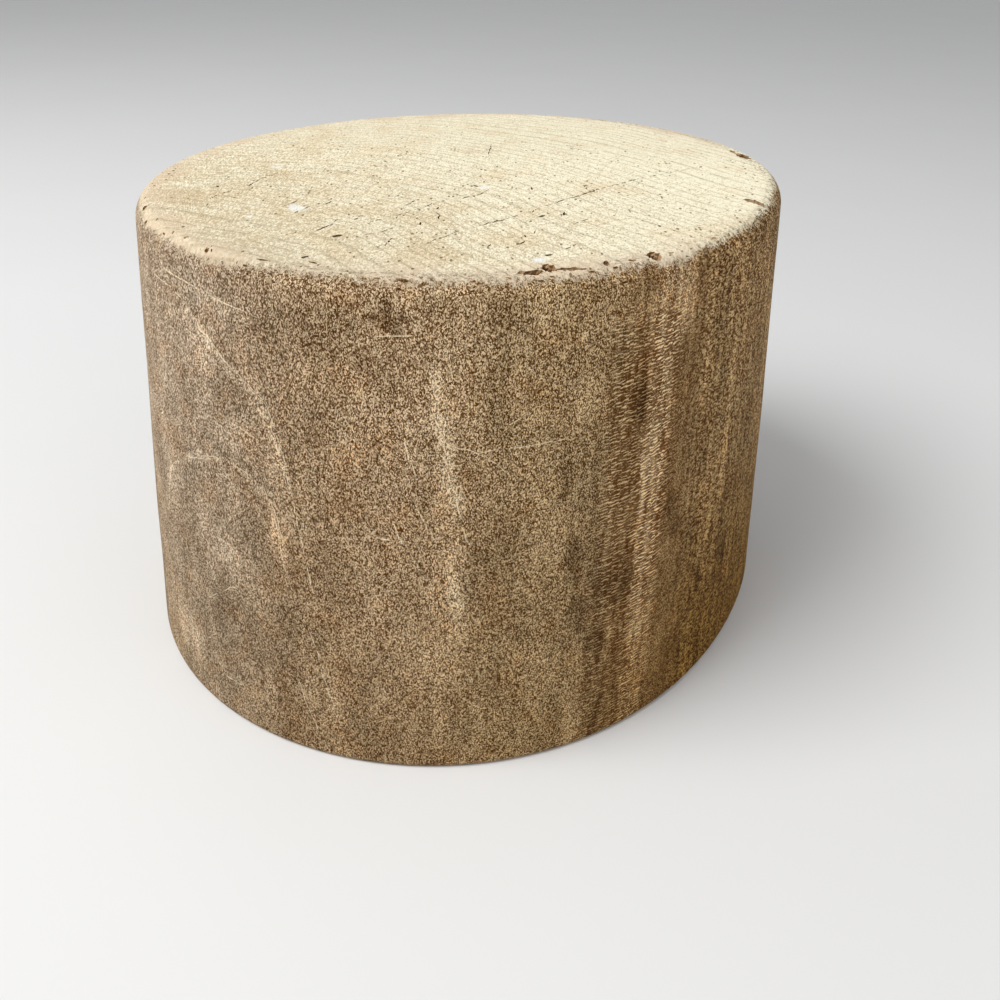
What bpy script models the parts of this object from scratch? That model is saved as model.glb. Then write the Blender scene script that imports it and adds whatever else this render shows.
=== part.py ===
"""Oval crown block for shaping hats, with the lined socket that holds it on a stand's spindle.

Units are metres, +Z is up and the block stands on z = 0 with its base centred on the origin.
The long axis of the oval, from the wearer's front to back, lies along Y.
"""
import math

import bmesh
import bpy
import numpy as np
from mathutils import Matrix, Vector

# Outline of the block: one oval where it stands, and a smaller one at the crown
BASE_LENGTH = 0.196
BASE_WIDTH = 0.168
CROWN_LENGTH = 0.178
CROWN_WIDTH = 0.152
BLOCK_HEIGHT = 0.114
WALL_BELLY = 0.0005
# A block shaped by hand is a little fuller on one shoulder than on the other
HAND_FULLNESS = 0.0010
HAND_FULLNESS_ANGLE = math.radians(69)

# Edges: the crown's is rounded by wear, the base's is nearly sharp
CROWN_EDGE_RADIUS = 0.0042
BASE_EDGE_RADIUS = 0.0009

# Socket in the base for the stand's spindle, and the iron bush that lines its mouth
SPINDLE_DIAMETER = 0.0254
SPINDLE_CLEARANCE = 0.0004
SOCKET_DEPTH = 0.066
BUSH_LENGTH = 0.050
BUSH_WALL = 0.0030
BUSH_CHAMFER = 0.0010
BUSH_RECESS = 0.0005
FIT_GAP = 0.0003
SOCKET_MOUTH_CHAMFER = 0.0008

# Splinters lost from the crown's rim, each at an angle round the block from +X.
# A size is length, width and depth; the length runs along the rim before the turn.
# The setback is from the rim to the middle of the hollow.
RIM_SPLIT_ANGLE = math.radians(12)
RIM_SPLIT_SIZE = (0.0066, 0.0024, 0.0034)
RIM_SPLIT_SETBACK = 0.0046
RIM_SPLIT_TURN = math.radians(65)
BACK_FLAKE_ANGLE = math.radians(54)
BACK_FLAKE_SIZE = (0.0072, 0.0032, 0.0022)
BACK_FLAKE_SETBACK = 0.0026
FRONT_FLAKE_ANGLE = math.radians(-30)
FRONT_FLAKE_SIZE = (0.0058, 0.0028, 0.0018)
FRONT_FLAKE_SETBACK = 0.0044
FRONT_CRUMB_ANGLE = math.radians(-49)
FRONT_CRUMB_SIZE = (0.0080, 0.0022, 0.0014)
FRONT_CRUMB_SETBACK = 0.0064
SIDE_NICK_ANGLE = math.radians(-118)
SIDE_NICK_SIZE = (0.0050, 0.0028, 0.0024)
SIDE_NICK_SETBACK = 0.0010

# Facets
OUTLINE_POINTS = 120
WALL_BANDS = 6
CROWN_EDGE_SEGMENTS = 5
SOCKET_STEPS = 48
MERGE_DISTANCE = 0.00001

COLLECTION_NAME = "hat_block"
CUTTER_COLLECTION_NAME = "cutters"


def clear_scene():
    for existing in list(bpy.data.objects):
        bpy.data.objects.remove(existing, do_unlink=True)


def make_collection(name):
    collection = bpy.data.collections.new(name)
    bpy.context.scene.collection.children.link(collection)
    return collection


def make_material(name, colour, roughness, metallic=0.0):
    material = bpy.data.materials.new(name)
    material.use_nodes = True
    shader = material.node_tree.nodes["Principled BSDF"]
    shader.inputs["Base Color"].default_value = (*colour, 1.0)
    shader.inputs["Roughness"].default_value = roughness
    shader.inputs["Metallic"].default_value = metallic
    material.diffuse_color = (*colour, 1.0)
    return material


def object_from_bmesh(name, mesh_data, collection, material=None):
    mesh = bpy.data.meshes.new(name)
    mesh_data.to_mesh(mesh)
    mesh_data.free()
    made = bpy.data.objects.new(name, mesh)
    collection.objects.link(made)
    if material:
        mesh.materials.append(material)
    return made


def oval_radius(angle, length, width):
    """Distance from the block's axis to its outline, at an angle from +X."""
    mean = (length + width) / 4
    stretch = (length - width) / 4
    hand = HAND_FULLNESS * math.cos(3 * (angle - HAND_FULLNESS_ANGLE))
    return mean - stretch * math.cos(2 * angle) + hand


def oval_outline(length, width):
    """Points of one oval section, counter-clockwise, with its extents centred on the axis."""
    angles = np.linspace(0, 2 * math.pi, OUTLINE_POINTS, endpoint=False)
    radii = np.array([oval_radius(angle, length, width) for angle in angles])
    points = np.column_stack((radii * np.cos(angles), radii * np.sin(angles)))
    return points - (points.min(axis=0) + points.max(axis=0)) / 2


def section_at(share):
    """Outline of the wall at a share of its height, 0 at the base and 1 at the crown."""
    belly = 2 * WALL_BELLY * (1 - (2 * share - 1) ** 2)
    length = BASE_LENGTH + (CROWN_LENGTH - BASE_LENGTH) * share + belly
    width = BASE_WIDTH + (CROWN_WIDTH - BASE_WIDTH) * share + belly
    return oval_outline(length, width)


def lofted_oval(collection, material):
    """The solid billet: oval sections bridged from the base to the smaller crown."""
    mesh_data = bmesh.new()
    loops = []
    for band in range(WALL_BANDS + 1):
        share = band / WALL_BANDS
        height = share * BLOCK_HEIGHT
        loops.append([mesh_data.verts.new((x, y, height)) for x, y in section_at(share)])
    for lower, upper in zip(loops, loops[1:]):
        for here in range(OUTLINE_POINTS):
            following = (here + 1) % OUTLINE_POINTS
            mesh_data.faces.new((lower[here], lower[following], upper[following], upper[here]))
    base_face = mesh_data.faces.new(list(reversed(loops[0])))
    crown_face = mesh_data.faces.new(loops[-1])
    weights = mesh_data.edges.layers.float.new("bevel_weight_edge")
    for edge in base_face.edges:
        edge[weights] = BASE_EDGE_RADIUS / CROWN_EDGE_RADIUS
    for edge in crown_face.edges:
        edge[weights] = 1.0
    block = object_from_bmesh("crown_block", mesh_data, collection, material)
    rounding = block.modifiers.new("worn_edges", "BEVEL")
    rounding.limit_method = "WEIGHT"
    rounding.width = CROWN_EDGE_RADIUS
    rounding.segments = CROWN_EDGE_SEGMENTS
    return block


def turned_solid(name, profile, collection, material=None):
    """A profile of (radius, height) pairs, outer side running down, turned about Z."""
    mesh_data = bmesh.new()
    corners = [mesh_data.verts.new((radius, 0, height)) for radius, height in profile]
    for first, second in zip(corners, corners[1:]):
        mesh_data.edges.new((first, second))
    if profile[0][0] > 0:
        mesh_data.edges.new((corners[-1], corners[0]))
    turned = object_from_bmesh(name, mesh_data, collection, material)
    screw = turned.modifiers.new("turn", "SCREW")
    screw.axis = "Z"
    screw.steps = SOCKET_STEPS
    screw.render_steps = SOCKET_STEPS
    screw.use_merge_vertices = True
    screw.merge_threshold = MERGE_DISTANCE
    return turned


def hide_cutter(cutter):
    cutter.display_type = "WIRE"
    cutter.hide_render = True


def cut(target, cutter):
    hide_cutter(cutter)
    boolean = target.modifiers.new("cut_" + cutter.name, "BOOLEAN")
    boolean.operation = "DIFFERENCE"
    boolean.solver = "EXACT"
    boolean.object = cutter


def bush_inner_radius():
    return SPINDLE_DIAMETER / 2 + SPINDLE_CLEARANCE


def bush_outer_radius():
    return bush_inner_radius() + BUSH_WALL


def socket_cutter(collection):
    """Stepped hole: wide for the bush, then as wide as the bush's own bore beyond it."""
    wide = bush_outer_radius() + FIT_GAP
    narrow = bush_inner_radius()
    shoulder = BUSH_RECESS + BUSH_LENGTH + FIT_GAP
    flare = wide + SOCKET_MOUTH_CHAMFER
    below = -2 * SOCKET_MOUTH_CHAMFER
    profile = [
        (0.0, SOCKET_DEPTH),
        (narrow, SOCKET_DEPTH),
        (narrow, shoulder),
        (wide, shoulder),
        (wide, SOCKET_MOUTH_CHAMFER),
        (flare, 0.0),
        (flare, below),
        (0.0, below),
    ]
    return turned_solid("spindle_socket", profile, collection)


def spindle_bush(collection, material):
    """Iron sleeve that lines the socket, eased at its mouth so the spindle finds its way in."""
    outer = bush_outer_radius()
    inner = bush_inner_radius()
    eased = BUSH_CHAMFER / 2
    profile = [
        (outer, BUSH_LENGTH - eased),
        (outer, eased),
        (outer - eased, 0.0),
        (inner + BUSH_CHAMFER, 0.0),
        (inner, BUSH_CHAMFER),
        (inner, BUSH_LENGTH),
        (outer - eased, BUSH_LENGTH),
    ]
    bush = turned_solid("spindle_bush", profile, collection, material)
    bush.location = (0, 0, BUSH_RECESS)
    return bush


def rim_point(angle, setback):
    """A point on the crown face, set back from its rim along the radius at an angle."""
    radius = oval_radius(angle, CROWN_LENGTH, CROWN_WIDTH) - setback
    return Vector((radius * math.cos(angle), radius * math.sin(angle), BLOCK_HEIGHT))


def flake_cutter(name, angle, size, setback, collection, turn=0.0):
    """A pointed hollow, long along the rim, that a lost splinter leaves in the end grain."""
    length, width, depth = size
    mesh_data = bmesh.new()
    bmesh.ops.create_icosphere(mesh_data, subdivisions=2, radius=1.0)
    along = Matrix.Rotation(angle + math.pi / 2 + turn, 4, "Z")
    stretch = Matrix.Diagonal((length / 2, width / 2, depth, 1.0))
    place = Matrix.Translation(rim_point(angle, setback))
    bmesh.ops.transform(mesh_data, matrix=place @ along @ stretch, verts=mesh_data.verts)
    return object_from_bmesh(name, mesh_data, collection)


def crown_block(parts, cutters, material):
    block = lofted_oval(parts, material)
    cut(block, socket_cutter(cutters))
    flakes = (
        ("rim_split", RIM_SPLIT_ANGLE, RIM_SPLIT_SIZE, RIM_SPLIT_SETBACK, RIM_SPLIT_TURN),
        ("back_flake", BACK_FLAKE_ANGLE, BACK_FLAKE_SIZE, BACK_FLAKE_SETBACK, 0.0),
        ("front_flake", FRONT_FLAKE_ANGLE, FRONT_FLAKE_SIZE, FRONT_FLAKE_SETBACK, 0.0),
        ("front_crumb", FRONT_CRUMB_ANGLE, FRONT_CRUMB_SIZE, FRONT_CRUMB_SETBACK, 0.0),
        ("side_nick", SIDE_NICK_ANGLE, SIDE_NICK_SIZE, SIDE_NICK_SETBACK, 0.0),
    )
    for name, angle, size, setback, turn in flakes:
        cut(block, flake_cutter(name, angle, size, setback, cutters, turn))
    return block


def shade_round(piece):
    piece.data.shade_smooth()
    piece.data.set_sharp_from_angle(angle=math.radians(35))


def main():
    clear_scene()
    parts = make_collection(COLLECTION_NAME)
    cutters = make_collection(CUTTER_COLLECTION_NAME)
    timber = make_material("timber", (0.36, 0.24, 0.145), 0.82)
    iron = make_material("iron", (0.16, 0.13, 0.11), 0.55, 0.85)
    shade_round(crown_block(parts, cutters, timber))
    shade_round(spindle_bush(parts, iron))


main()
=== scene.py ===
"""Oval crown block for shaping hats, dressed in its own wear, on a plain floor in soft light.

The block is one billet of close timber, shaped by hand, with its end grain at the crown and base.
Lengths are metres, +Z is up and the block stands on z = 0.
"""
import math
import random

import bpy
import numpy as np
from bpy.props import FloatProperty, FloatVectorProperty, IntProperty, PointerProperty
from mathutils import Matrix, Vector, noise


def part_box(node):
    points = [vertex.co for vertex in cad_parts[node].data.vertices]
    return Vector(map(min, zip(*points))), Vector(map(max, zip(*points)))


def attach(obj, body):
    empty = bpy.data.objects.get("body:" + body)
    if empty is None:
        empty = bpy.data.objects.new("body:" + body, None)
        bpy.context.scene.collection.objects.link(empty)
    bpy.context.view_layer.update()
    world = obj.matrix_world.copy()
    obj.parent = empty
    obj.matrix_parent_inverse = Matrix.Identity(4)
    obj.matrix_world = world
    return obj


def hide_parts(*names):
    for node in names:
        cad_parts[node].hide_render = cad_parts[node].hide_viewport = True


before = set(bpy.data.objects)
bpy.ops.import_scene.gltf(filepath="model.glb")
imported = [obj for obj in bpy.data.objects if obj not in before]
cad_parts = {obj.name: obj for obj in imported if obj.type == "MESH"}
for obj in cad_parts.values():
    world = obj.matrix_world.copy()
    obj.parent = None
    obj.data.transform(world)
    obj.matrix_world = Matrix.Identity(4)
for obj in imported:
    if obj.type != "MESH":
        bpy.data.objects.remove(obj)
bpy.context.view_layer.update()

bl_info = {
    "name": "Hat block",
    "version": (1, 0, 0),
    "blender": (4, 5, 0),
    "location": "3D View > Sidebar > Hat block",
    "description": "Builds an oval crown block of worn timber on a small stage",
    "category": "Object",
}

_, BLOCK_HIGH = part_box("crown_block")
BUSH_LOW, BUSH_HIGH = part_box("spindle_bush")
MM = 0.001


# Properties

def length_property(name, description, default):
    return FloatProperty(
        name=name, description=description, default=default, subtype="DISTANCE", unit="LENGTH"
    )


def colour_property(name, description, default, most=1.0):
    return FloatVectorProperty(
        name=name, description=description, default=default, subtype="COLOR", size=3, min=0.0, max=most
    )


def angle_property(name, description, degrees):
    return FloatProperty(
        name=name, description=description, default=math.radians(degrees), subtype="ANGLE", unit="ROTATION"
    )


class HatBlockSizes(bpy.types.PropertyGroup):
    """Sizes of the block, its socket and its bush"""
    base_length: length_property("Base length", "Long axis of the oval where it stands", 0.196)
    base_width: length_property("Base width", "Short axis of the oval where it stands", 0.168)
    crown_length: length_property("Crown length", "Long axis of the oval at the crown", 0.178)
    crown_width: length_property("Crown width", "Short axis of the oval at the crown", 0.152)
    height: length_property("Height", "From the base to the highest point of the crown", BLOCK_HIGH.z)
    belly: length_property("Belly", "How far the middle of the wall swells", 0.0005)
    fullness: length_property("Fullness", "How much fuller one shoulder was left by hand", 0.0010)
    fullness_angle: angle_property("Fullness angle", "Where the fuller shoulder lies", 69.0)
    skin: length_property("Skin", "Timber rubbed off the wall all round by use", 0.00012)
    crown_edge: length_property("Crown edge", "Radius worn on the edge of the crown", 0.0042)
    base_edge: length_property("Base edge", "Radius on the edge of the base", 0.0015)
    bush_outer: length_property("Bush outside", "Outer radius of the iron bush", BUSH_HIGH.x)
    bush_bore: length_property("Bush bore", "Radius of the hole through the bush", 0.0131)
    socket_depth: length_property("Socket depth", "Depth of the hole for the spindle", 0.066)
    fit_gap: length_property("Fit gap", "Gap between the bush and the timber", 0.0003)
    ring_relief: length_property("Ring relief", "How proud the growth rings stand", 0.00016)


class HatBlockColours(bpy.types.PropertyGroup):
    """Colours of the timber, its wear and the iron"""
    wall_dark: colour_property("Wall dark", "Dark ticks of the side grain", (0.096, 0.034, 0.001))
    wall_light: colour_property("Wall light", "Light ticks of the side grain", (0.96, 0.725, 0.455))
    yellow_light: colour_property("Yellow light", "Light ticks of the middle", (0.95, 0.705, 0.395))
    dusty_dark: colour_property("Dusty dark", "Dark ticks where dust lies", (0.125, 0.066, 0.026))
    dusty_light: colour_property("Dusty light", "Light ticks where dust lies", (0.89, 0.72, 0.52))
    warm_dark: colour_property("Warm dark", "Dark ticks of the browner side", (0.098, 0.030, 0.0))
    warm_light: colour_property("Warm light", "Light ticks of the browner side", (0.79, 0.54, 0.265))
    far_light: colour_property("Far light", "Light ticks where the grain is streaky", (0.90, 0.635, 0.31))
    golden: colour_property("Golden", "The paler band of the side grain", (1.0, 0.75, 0.43))
    dimmed: colour_property("Dimmed", "What the darkest broad marks leave", (0.58, 0.55, 0.50))
    brightened: colour_property("Brightened", "Lift of the palest broad marks", (1.38, 1.38, 1.40), 2.0)
    ruddy: colour_property("Ruddy", "Redder patches", (1.0, 0.84, 0.66))
    grey: colour_property("Grey", "Greyer patches", (0.84, 0.93, 1.0))
    # Handled and shaded: the darkening towards the base is partly grime of handling and partly painted
    # shade, which stands for the light a dark floor would not send back up the lower wall
    handled_and_shaded: colour_property("Handled", "Darkening towards the base by handling", (0.60, 0.475, 0.16))
    end_light: colour_property("End grain", "Bare end grain of the crown", (0.97, 0.90, 0.68))
    end_dull: colour_property("Dull end grain", "Duller specks of the end grain", (0.56, 0.455, 0.29))
    end_warm: colour_property("Warm end grain", "Browner patches of the crown", (0.90, 0.80, 0.69))
    end_line: colour_property("Ring line", "Late wood between the growth rings", (0.42, 0.36, 0.22))
    end_flush: colour_property("End flush", "Warmer end grain near the rim", (0.73, 0.58, 0.42))
    pore: colour_property("Pore", "Open pores and dirt in the end grain", (0.17, 0.125, 0.06))
    chalk: colour_property("Chalk", "White specks on the crown", (0.90, 0.91, 0.87))
    check_shade: colour_property("Check", "Inside of a drying check", (0.060, 0.036, 0.009))
    chip: colour_property("Chip", "Timber broken open at the rim", (0.32, 0.15, 0.036))
    dust: colour_property("Dust", "Chalky dust in scratches and scuffs", (0.98, 0.84, 0.60))
    iron: colour_property("Iron", "Brown iron of the bush", (0.15, 0.115, 0.09))
    tooled: colour_property("Tooled iron", "Rings left on the bush by the tool", (0.24, 0.20, 0.17))
    rust: colour_property("Rust", "Rust on the bush", (0.19, 0.075, 0.03))


class HatBlockStage(bpy.types.PropertyGroup):
    """Floor, lamps and camera"""
    floor: colour_property("Floor", "Pale floor and surroundings", (0.80, 0.80, 0.79))
    key_power: FloatProperty(name="Key", description="Power of the large lamp", default=14.0, min=0.0)
    fill_power: FloatProperty(name="Fill", description="Power of the weaker lamp", default=2.4, min=0.0)
    sky: FloatProperty(name="Sky", description="Strength of the surrounding light", default=0.42, min=0.0)
    camera_place: FloatVectorProperty(
        name="Camera place", description="Where the camera stands", default=(0.138, -0.22513, 0.17417),
        subtype="TRANSLATION", unit="LENGTH", size=3,
    )
    camera_heading: angle_property("Camera heading", "Turn of the view about the vertical", 29.456)
    camera_tilt: angle_property("Camera tilt", "How far the view is raised from straight down", 58.979)
    camera_roll: angle_property("Camera roll", "Turn of the camera about its own view", 1.828)
    lens: FloatProperty(
        name="Lens", description="Focal length for a 36 mm film", default=36.0, subtype="DISTANCE_CAMERA"
    )


# Where the timber grew: the pith stands outside the block, a little nearer at the crown
WALL_PITH = (15.0, -134.0)
CROWN_PITH = (1.0, -102.0)
FIBRE_LEAN = (-0.030, -0.018)

# Growth rings: spacing in mm, and two slow waves that make the years uneven
RING_SPACING = 3.6
RING_WAVES = ((0.62, 9.5), (0.34, 3.9))

# Across the crown the rings lie along X and fall away on either side: from where in mm, over
# how many mm they turn, and how steeply they fall
RING_FALLS = ((12.0, 7.0, 0.50), (-38.0, 9.0, 0.62))

# Slow swings of the rings: how far in mm, over what length along X and along Y, and from where
RING_SWINGS = ((1.1, 17.0, 41.0, 0.0), (0.6, 7.3, -23.0, 1.3))

# White specks on the crown: place and reach in mm
CHALK_SPOTS = (
    ((-13.8, -53.4), 3.4),
    ((10.4, -12.4), 1.9),
    ((49.2, -55.0), 2.0),
    ((-43.2, -26.4), 1.8),
    ((-16.6, -64.6), 1.1),
)

# Browner patches of the crown: place and reach in mm, and strength
CROWN_PATCHES = (
    ((30.0, -63.0), 8.0, 1.0),
    ((14.0, -43.0), 7.0, 0.8),
    ((-35.0, -32.0), 9.0, 0.8),
    ((-40.0, -60.0), 9.0, 0.9),
)

# Facets of the wall: points round each oval, and the height of a band in metres
OUTLINE_POINTS = 360
WALL_BAND = 0.0046

# Slow hollows rubbed into the wall, in metres: their size and depth, how far they stay from the
# base and from the crown, and how softly they begin
HOLLOW_SIZE = 0.034
HOLLOW_DEPTH = 0.0004
HOLLOW_MARGINS = (3 * MM, 7 * MM)
HOLLOW_EASE = 12 * MM

# Sheet that wears the crown, in mm: its width, and the middle and length of its way across the rings
SHEET_WIDTH = 164.0
SHEET_MIDDLE = 20.0
SHEET_LENGTH = 230.0

# Wear of the crown beside its rings and the height of the sheet above it, in metres
SLOW_WEAR = 0.00022
FINE_WEAR = 0.00005
SHEET_HEIGHT = 0.006

# Cuts into the block, in metres: the ease of the socket's mouth, how far a slit is sunk, and the
# round of the rim that crumbs are lost from
SOCKET_MOUTH = 0.0008
SLIT_SINK = 0.0001
RIM_ROUND = 4.2 * MM

# In mm: the top of the crown and its reach along X and Y, the way round the wall for a degree, the
# reach at which rays spread out, where the crown's rings are counted from, and the step of a scratch
CROWN_TOP = 114.0
CROWN_REACH = (76, 89)
MM_PER_DEGREE = 1.46
RAY_REACH = 95.0
RING_START = 400.0
SCRATCH_STEP = 1.4

# Drying checks in the crown: runs of short slits, through points in mm
CROWN_CHECKS = (
    ((31.0, -19.0), (31.4, -14.0), (33.0, -3.0), (35.4, 9.0), (38.0, 20.0), (41.5, 30.0), (46.0, 42.0)),
    ((34.0, 1.0), (33.0, -8.0)),
    ((36.8, -19.5), (37.5, -22.0), (39.0, -24.0)),
    ((30.5, -22.0), (31.0, -24.0)),
    ((29.3, -28.0), (29.6, -32.0), (28.5, -35.0), (27.5, -39.0)),
    ((43.8, -22.0), (43.0, -27.0)),
    ((38.5, -36.5), (39.2, -40.0)),
    ((38.6, -41.5), (39.0, -43.0)),
    ((40.3, -45.0), (40.6, -47.5)),
    ((50.3, -41.0), (50.0, -44.5)),
    ((8.2, -32.0), (8.6, -36.0), (8.0, -40.0), (8.2, -45.0), (8.8, -46.5)),
    ((11.3, -33.0), (12.3, -37.0), (15.5, -39.0), (16.5, -41.0)),
    ((15.5, -46.0), (16.6, -48.5)),
    ((6.5, -49.0), (6.8, -54.0)),
    ((12.9, -53.0), (12.6, -58.0), (11.3, -61.0)),
    ((25.0, -47.0), (25.4, -50.0), (25.0, -58.0)),
    ((35.5, -51.0), (36.4, -53.5)),
    ((17.0, -59.5), (18.5, -64.0), (18.3, -66.5)),
    ((1.8, -49.0), (2.2, -53.0)),
    ((4.0, -32.0), (4.6, -36.0)),
    ((-0.5, -54.0), (1.0, -61.0), (1.5, -64.0)),
    ((19.0, 5.0), (19.8, 3.0)),
    ((31.0, 3.0), (31.4, 1.5)),
    ((19.5, -5.0), (20.7, -7.0)),
    ((-36.0, -50.0), (-34.5, -58.0)),
    ((-32.0, -61.0), (-30.5, -64.0)),
    ((-11.0, -44.0), (-10.5, -47.0)),
    ((-17.5, -48.0), (-17.0, -53.0)),
    ((-12.0, -50.0), (-11.5, -56.0)),
    ((-35.0, -77.0), (-33.5, -81.0)),
    ((-41.7, -70.5), (-41.3, -72.5)),
    ((-9.0, -84.0), (-7.0, -87.0)),
    ((-38.5, -30.0), (-38.0, -38.0), (-36.0, -44.0)),
    ((-12.6, 30.5), (-11.0, 26.5), (-8.0, 21.0)),
    ((12.4, -13.0), (13.0, -18.0), (12.2, -23.0)),
)

# Seams that have opened here and there along the rings, as rows of pinhole slits
RING_SEAMS = (
    ((38.0, -4.0), (43.0, -6.5), (52.0, -10.0), (58.0, -13.0),
     (64.0, -17.0), (69.0, -20.0), (72.0, -22.0)),
    ((22.0, -28.0), (28.0, -31.5), (35.0, -34.0), (40.0, -36.0)),
    ((15.5, -15.5), (20.0, -18.0), (24.0, -20.0)),
    ((21.0, -21.0), (27.0, -24.0)),
    ((18.0, -54.0), (25.0, -58.0), (33.0, -61.0)),
    ((41.0, -30.0), (45.0, -34.0), (51.0, -37.0), (60.0, -38.0)),
    ((55.0, -31.0), (62.0, -36.0)),
    ((-30.0, -21.0), (-12.0, -21.6), (12.0, -21.0)),
    ((-37.0, -43.5), (-31.0, -42.0), (-20.0, -42.5), (0.0, -43.0)),
    ((-26.0, -70.5), (4.0, -70.0)),
    ((24.0, 20.0), (34.0, 16.0), (47.0, 11.0)),
    ((-20.0, 6.0), (8.0, 5.0)),
)

# How a check or a seam is made up, in mm: lengths and widths of its slits, and the gaps between
CHECK_SLITS = ((1.1, 3.9), (0.25, 0.64), (0.1, 0.2, 0.5, 1.0))
SEAM_SLITS = ((0.35, 0.95), (0.18, 0.33), (0.5, 0.9, 1.6, 3.0))

# Small dark hollows in the crown: place in mm, then length, width and depth, and turn in degrees
CROWN_PITS = (
    ((34.3, -26.6), (2.0, 1.3, 0.9), 75),
    ((7.0, -65.0), (2.6, 1.7, 0.8), 60),
    ((8.2, -12.4), (1.9, 1.0, 0.7), -30),
    ((-24.6, -4.4), (1.5, 0.8, 0.6), -20),
    ((-24.0, -10.0), (1.7, 0.9, 0.6), -35),
    ((37.7, -22.3), (1.9, 0.8, 0.7), -60),
    ((59.2, -18.6), (1.3, 0.8, 0.6), -50),
    ((10.8, -79.6), (2.2, 0.9, 0.7), 95),
    ((14.2, -81.4), (2.4, 0.8, 0.6), -10),
    ((49.0, -51.0), (2.2, 1.2, 0.6), 70),
    ((-41.0, -49.5), (1.8, 0.9, 0.6), -45),
    ((29.8, 4.2), (1.6, 0.7, 0.6), 30),
    ((21.4, 47.2), (1.4, 0.8, 0.6), -50),
)

# Splinters lost from the rim: place in mm with the drop below the crown, then length, width
# and depth, and turn in degrees
RIM_CHIPS = (
    ((69.6, 14.6, 0.2), (5.4, 2.9, 4.2), -28),
    ((71.6, 13.4, 0.3), (3.4, 2.2, 2.0), -50),
    ((52.6, -58.0, 0.0), (4.6, 3.0, 2.2), -50),
    ((56.6, -56.2, 0.0), (7.0, 1.7, 1.5), 38),
    ((51.4, -62.4, 0.2), (5.4, 2.8, 1.9), 52),
    ((66.2, -38.8, 0.0), (4.2, 3.2, 2.2), -60),
    ((60.6, -49.0, 0.0), (3.6, 1.4, 1.0), -62),
    ((64.0, -44.4, 0.0), (1.8, 1.3, 0.9), 20),
    ((50.6, 62.4, 0.6), (7.2, 3.0, 3.0), 140),
    ((46.6, 66.0, 0.4), (3.0, 1.6, 1.4), 128),
    ((-35.0, -78.4, 0.3), (4.6, 1.7, 1.9), -62),
    ((-41.6, -71.6, 0.2), (2.4, 1.3, 1.3), -50),
    ((-8.4, -86.4, 0.2), (2.0, 1.0, 1.1), -50),
    ((-10.8, -87.4, 0.4), (2.0, 0.9, 1.0), -60),
    ((-6.4, -89.0, 0.8), (2.6, 1.1, 1.2), -45),
    ((72.9, 24.2, 0.2), (1.6, 1.1, 1.1), 80),
    ((73.2, 20.6, 0.3), (1.9, 1.0, 1.2), 85),
    ((33.8, -79.4, 0.3), (2.6, 1.1, 1.0), 20),
    ((37.2, -78.4, 0.4), (2.2, 1.0, 1.1), 60),
    ((5.4, -85.6, 0.2), (3.0, 0.9, 0.8), 5),
)

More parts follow.
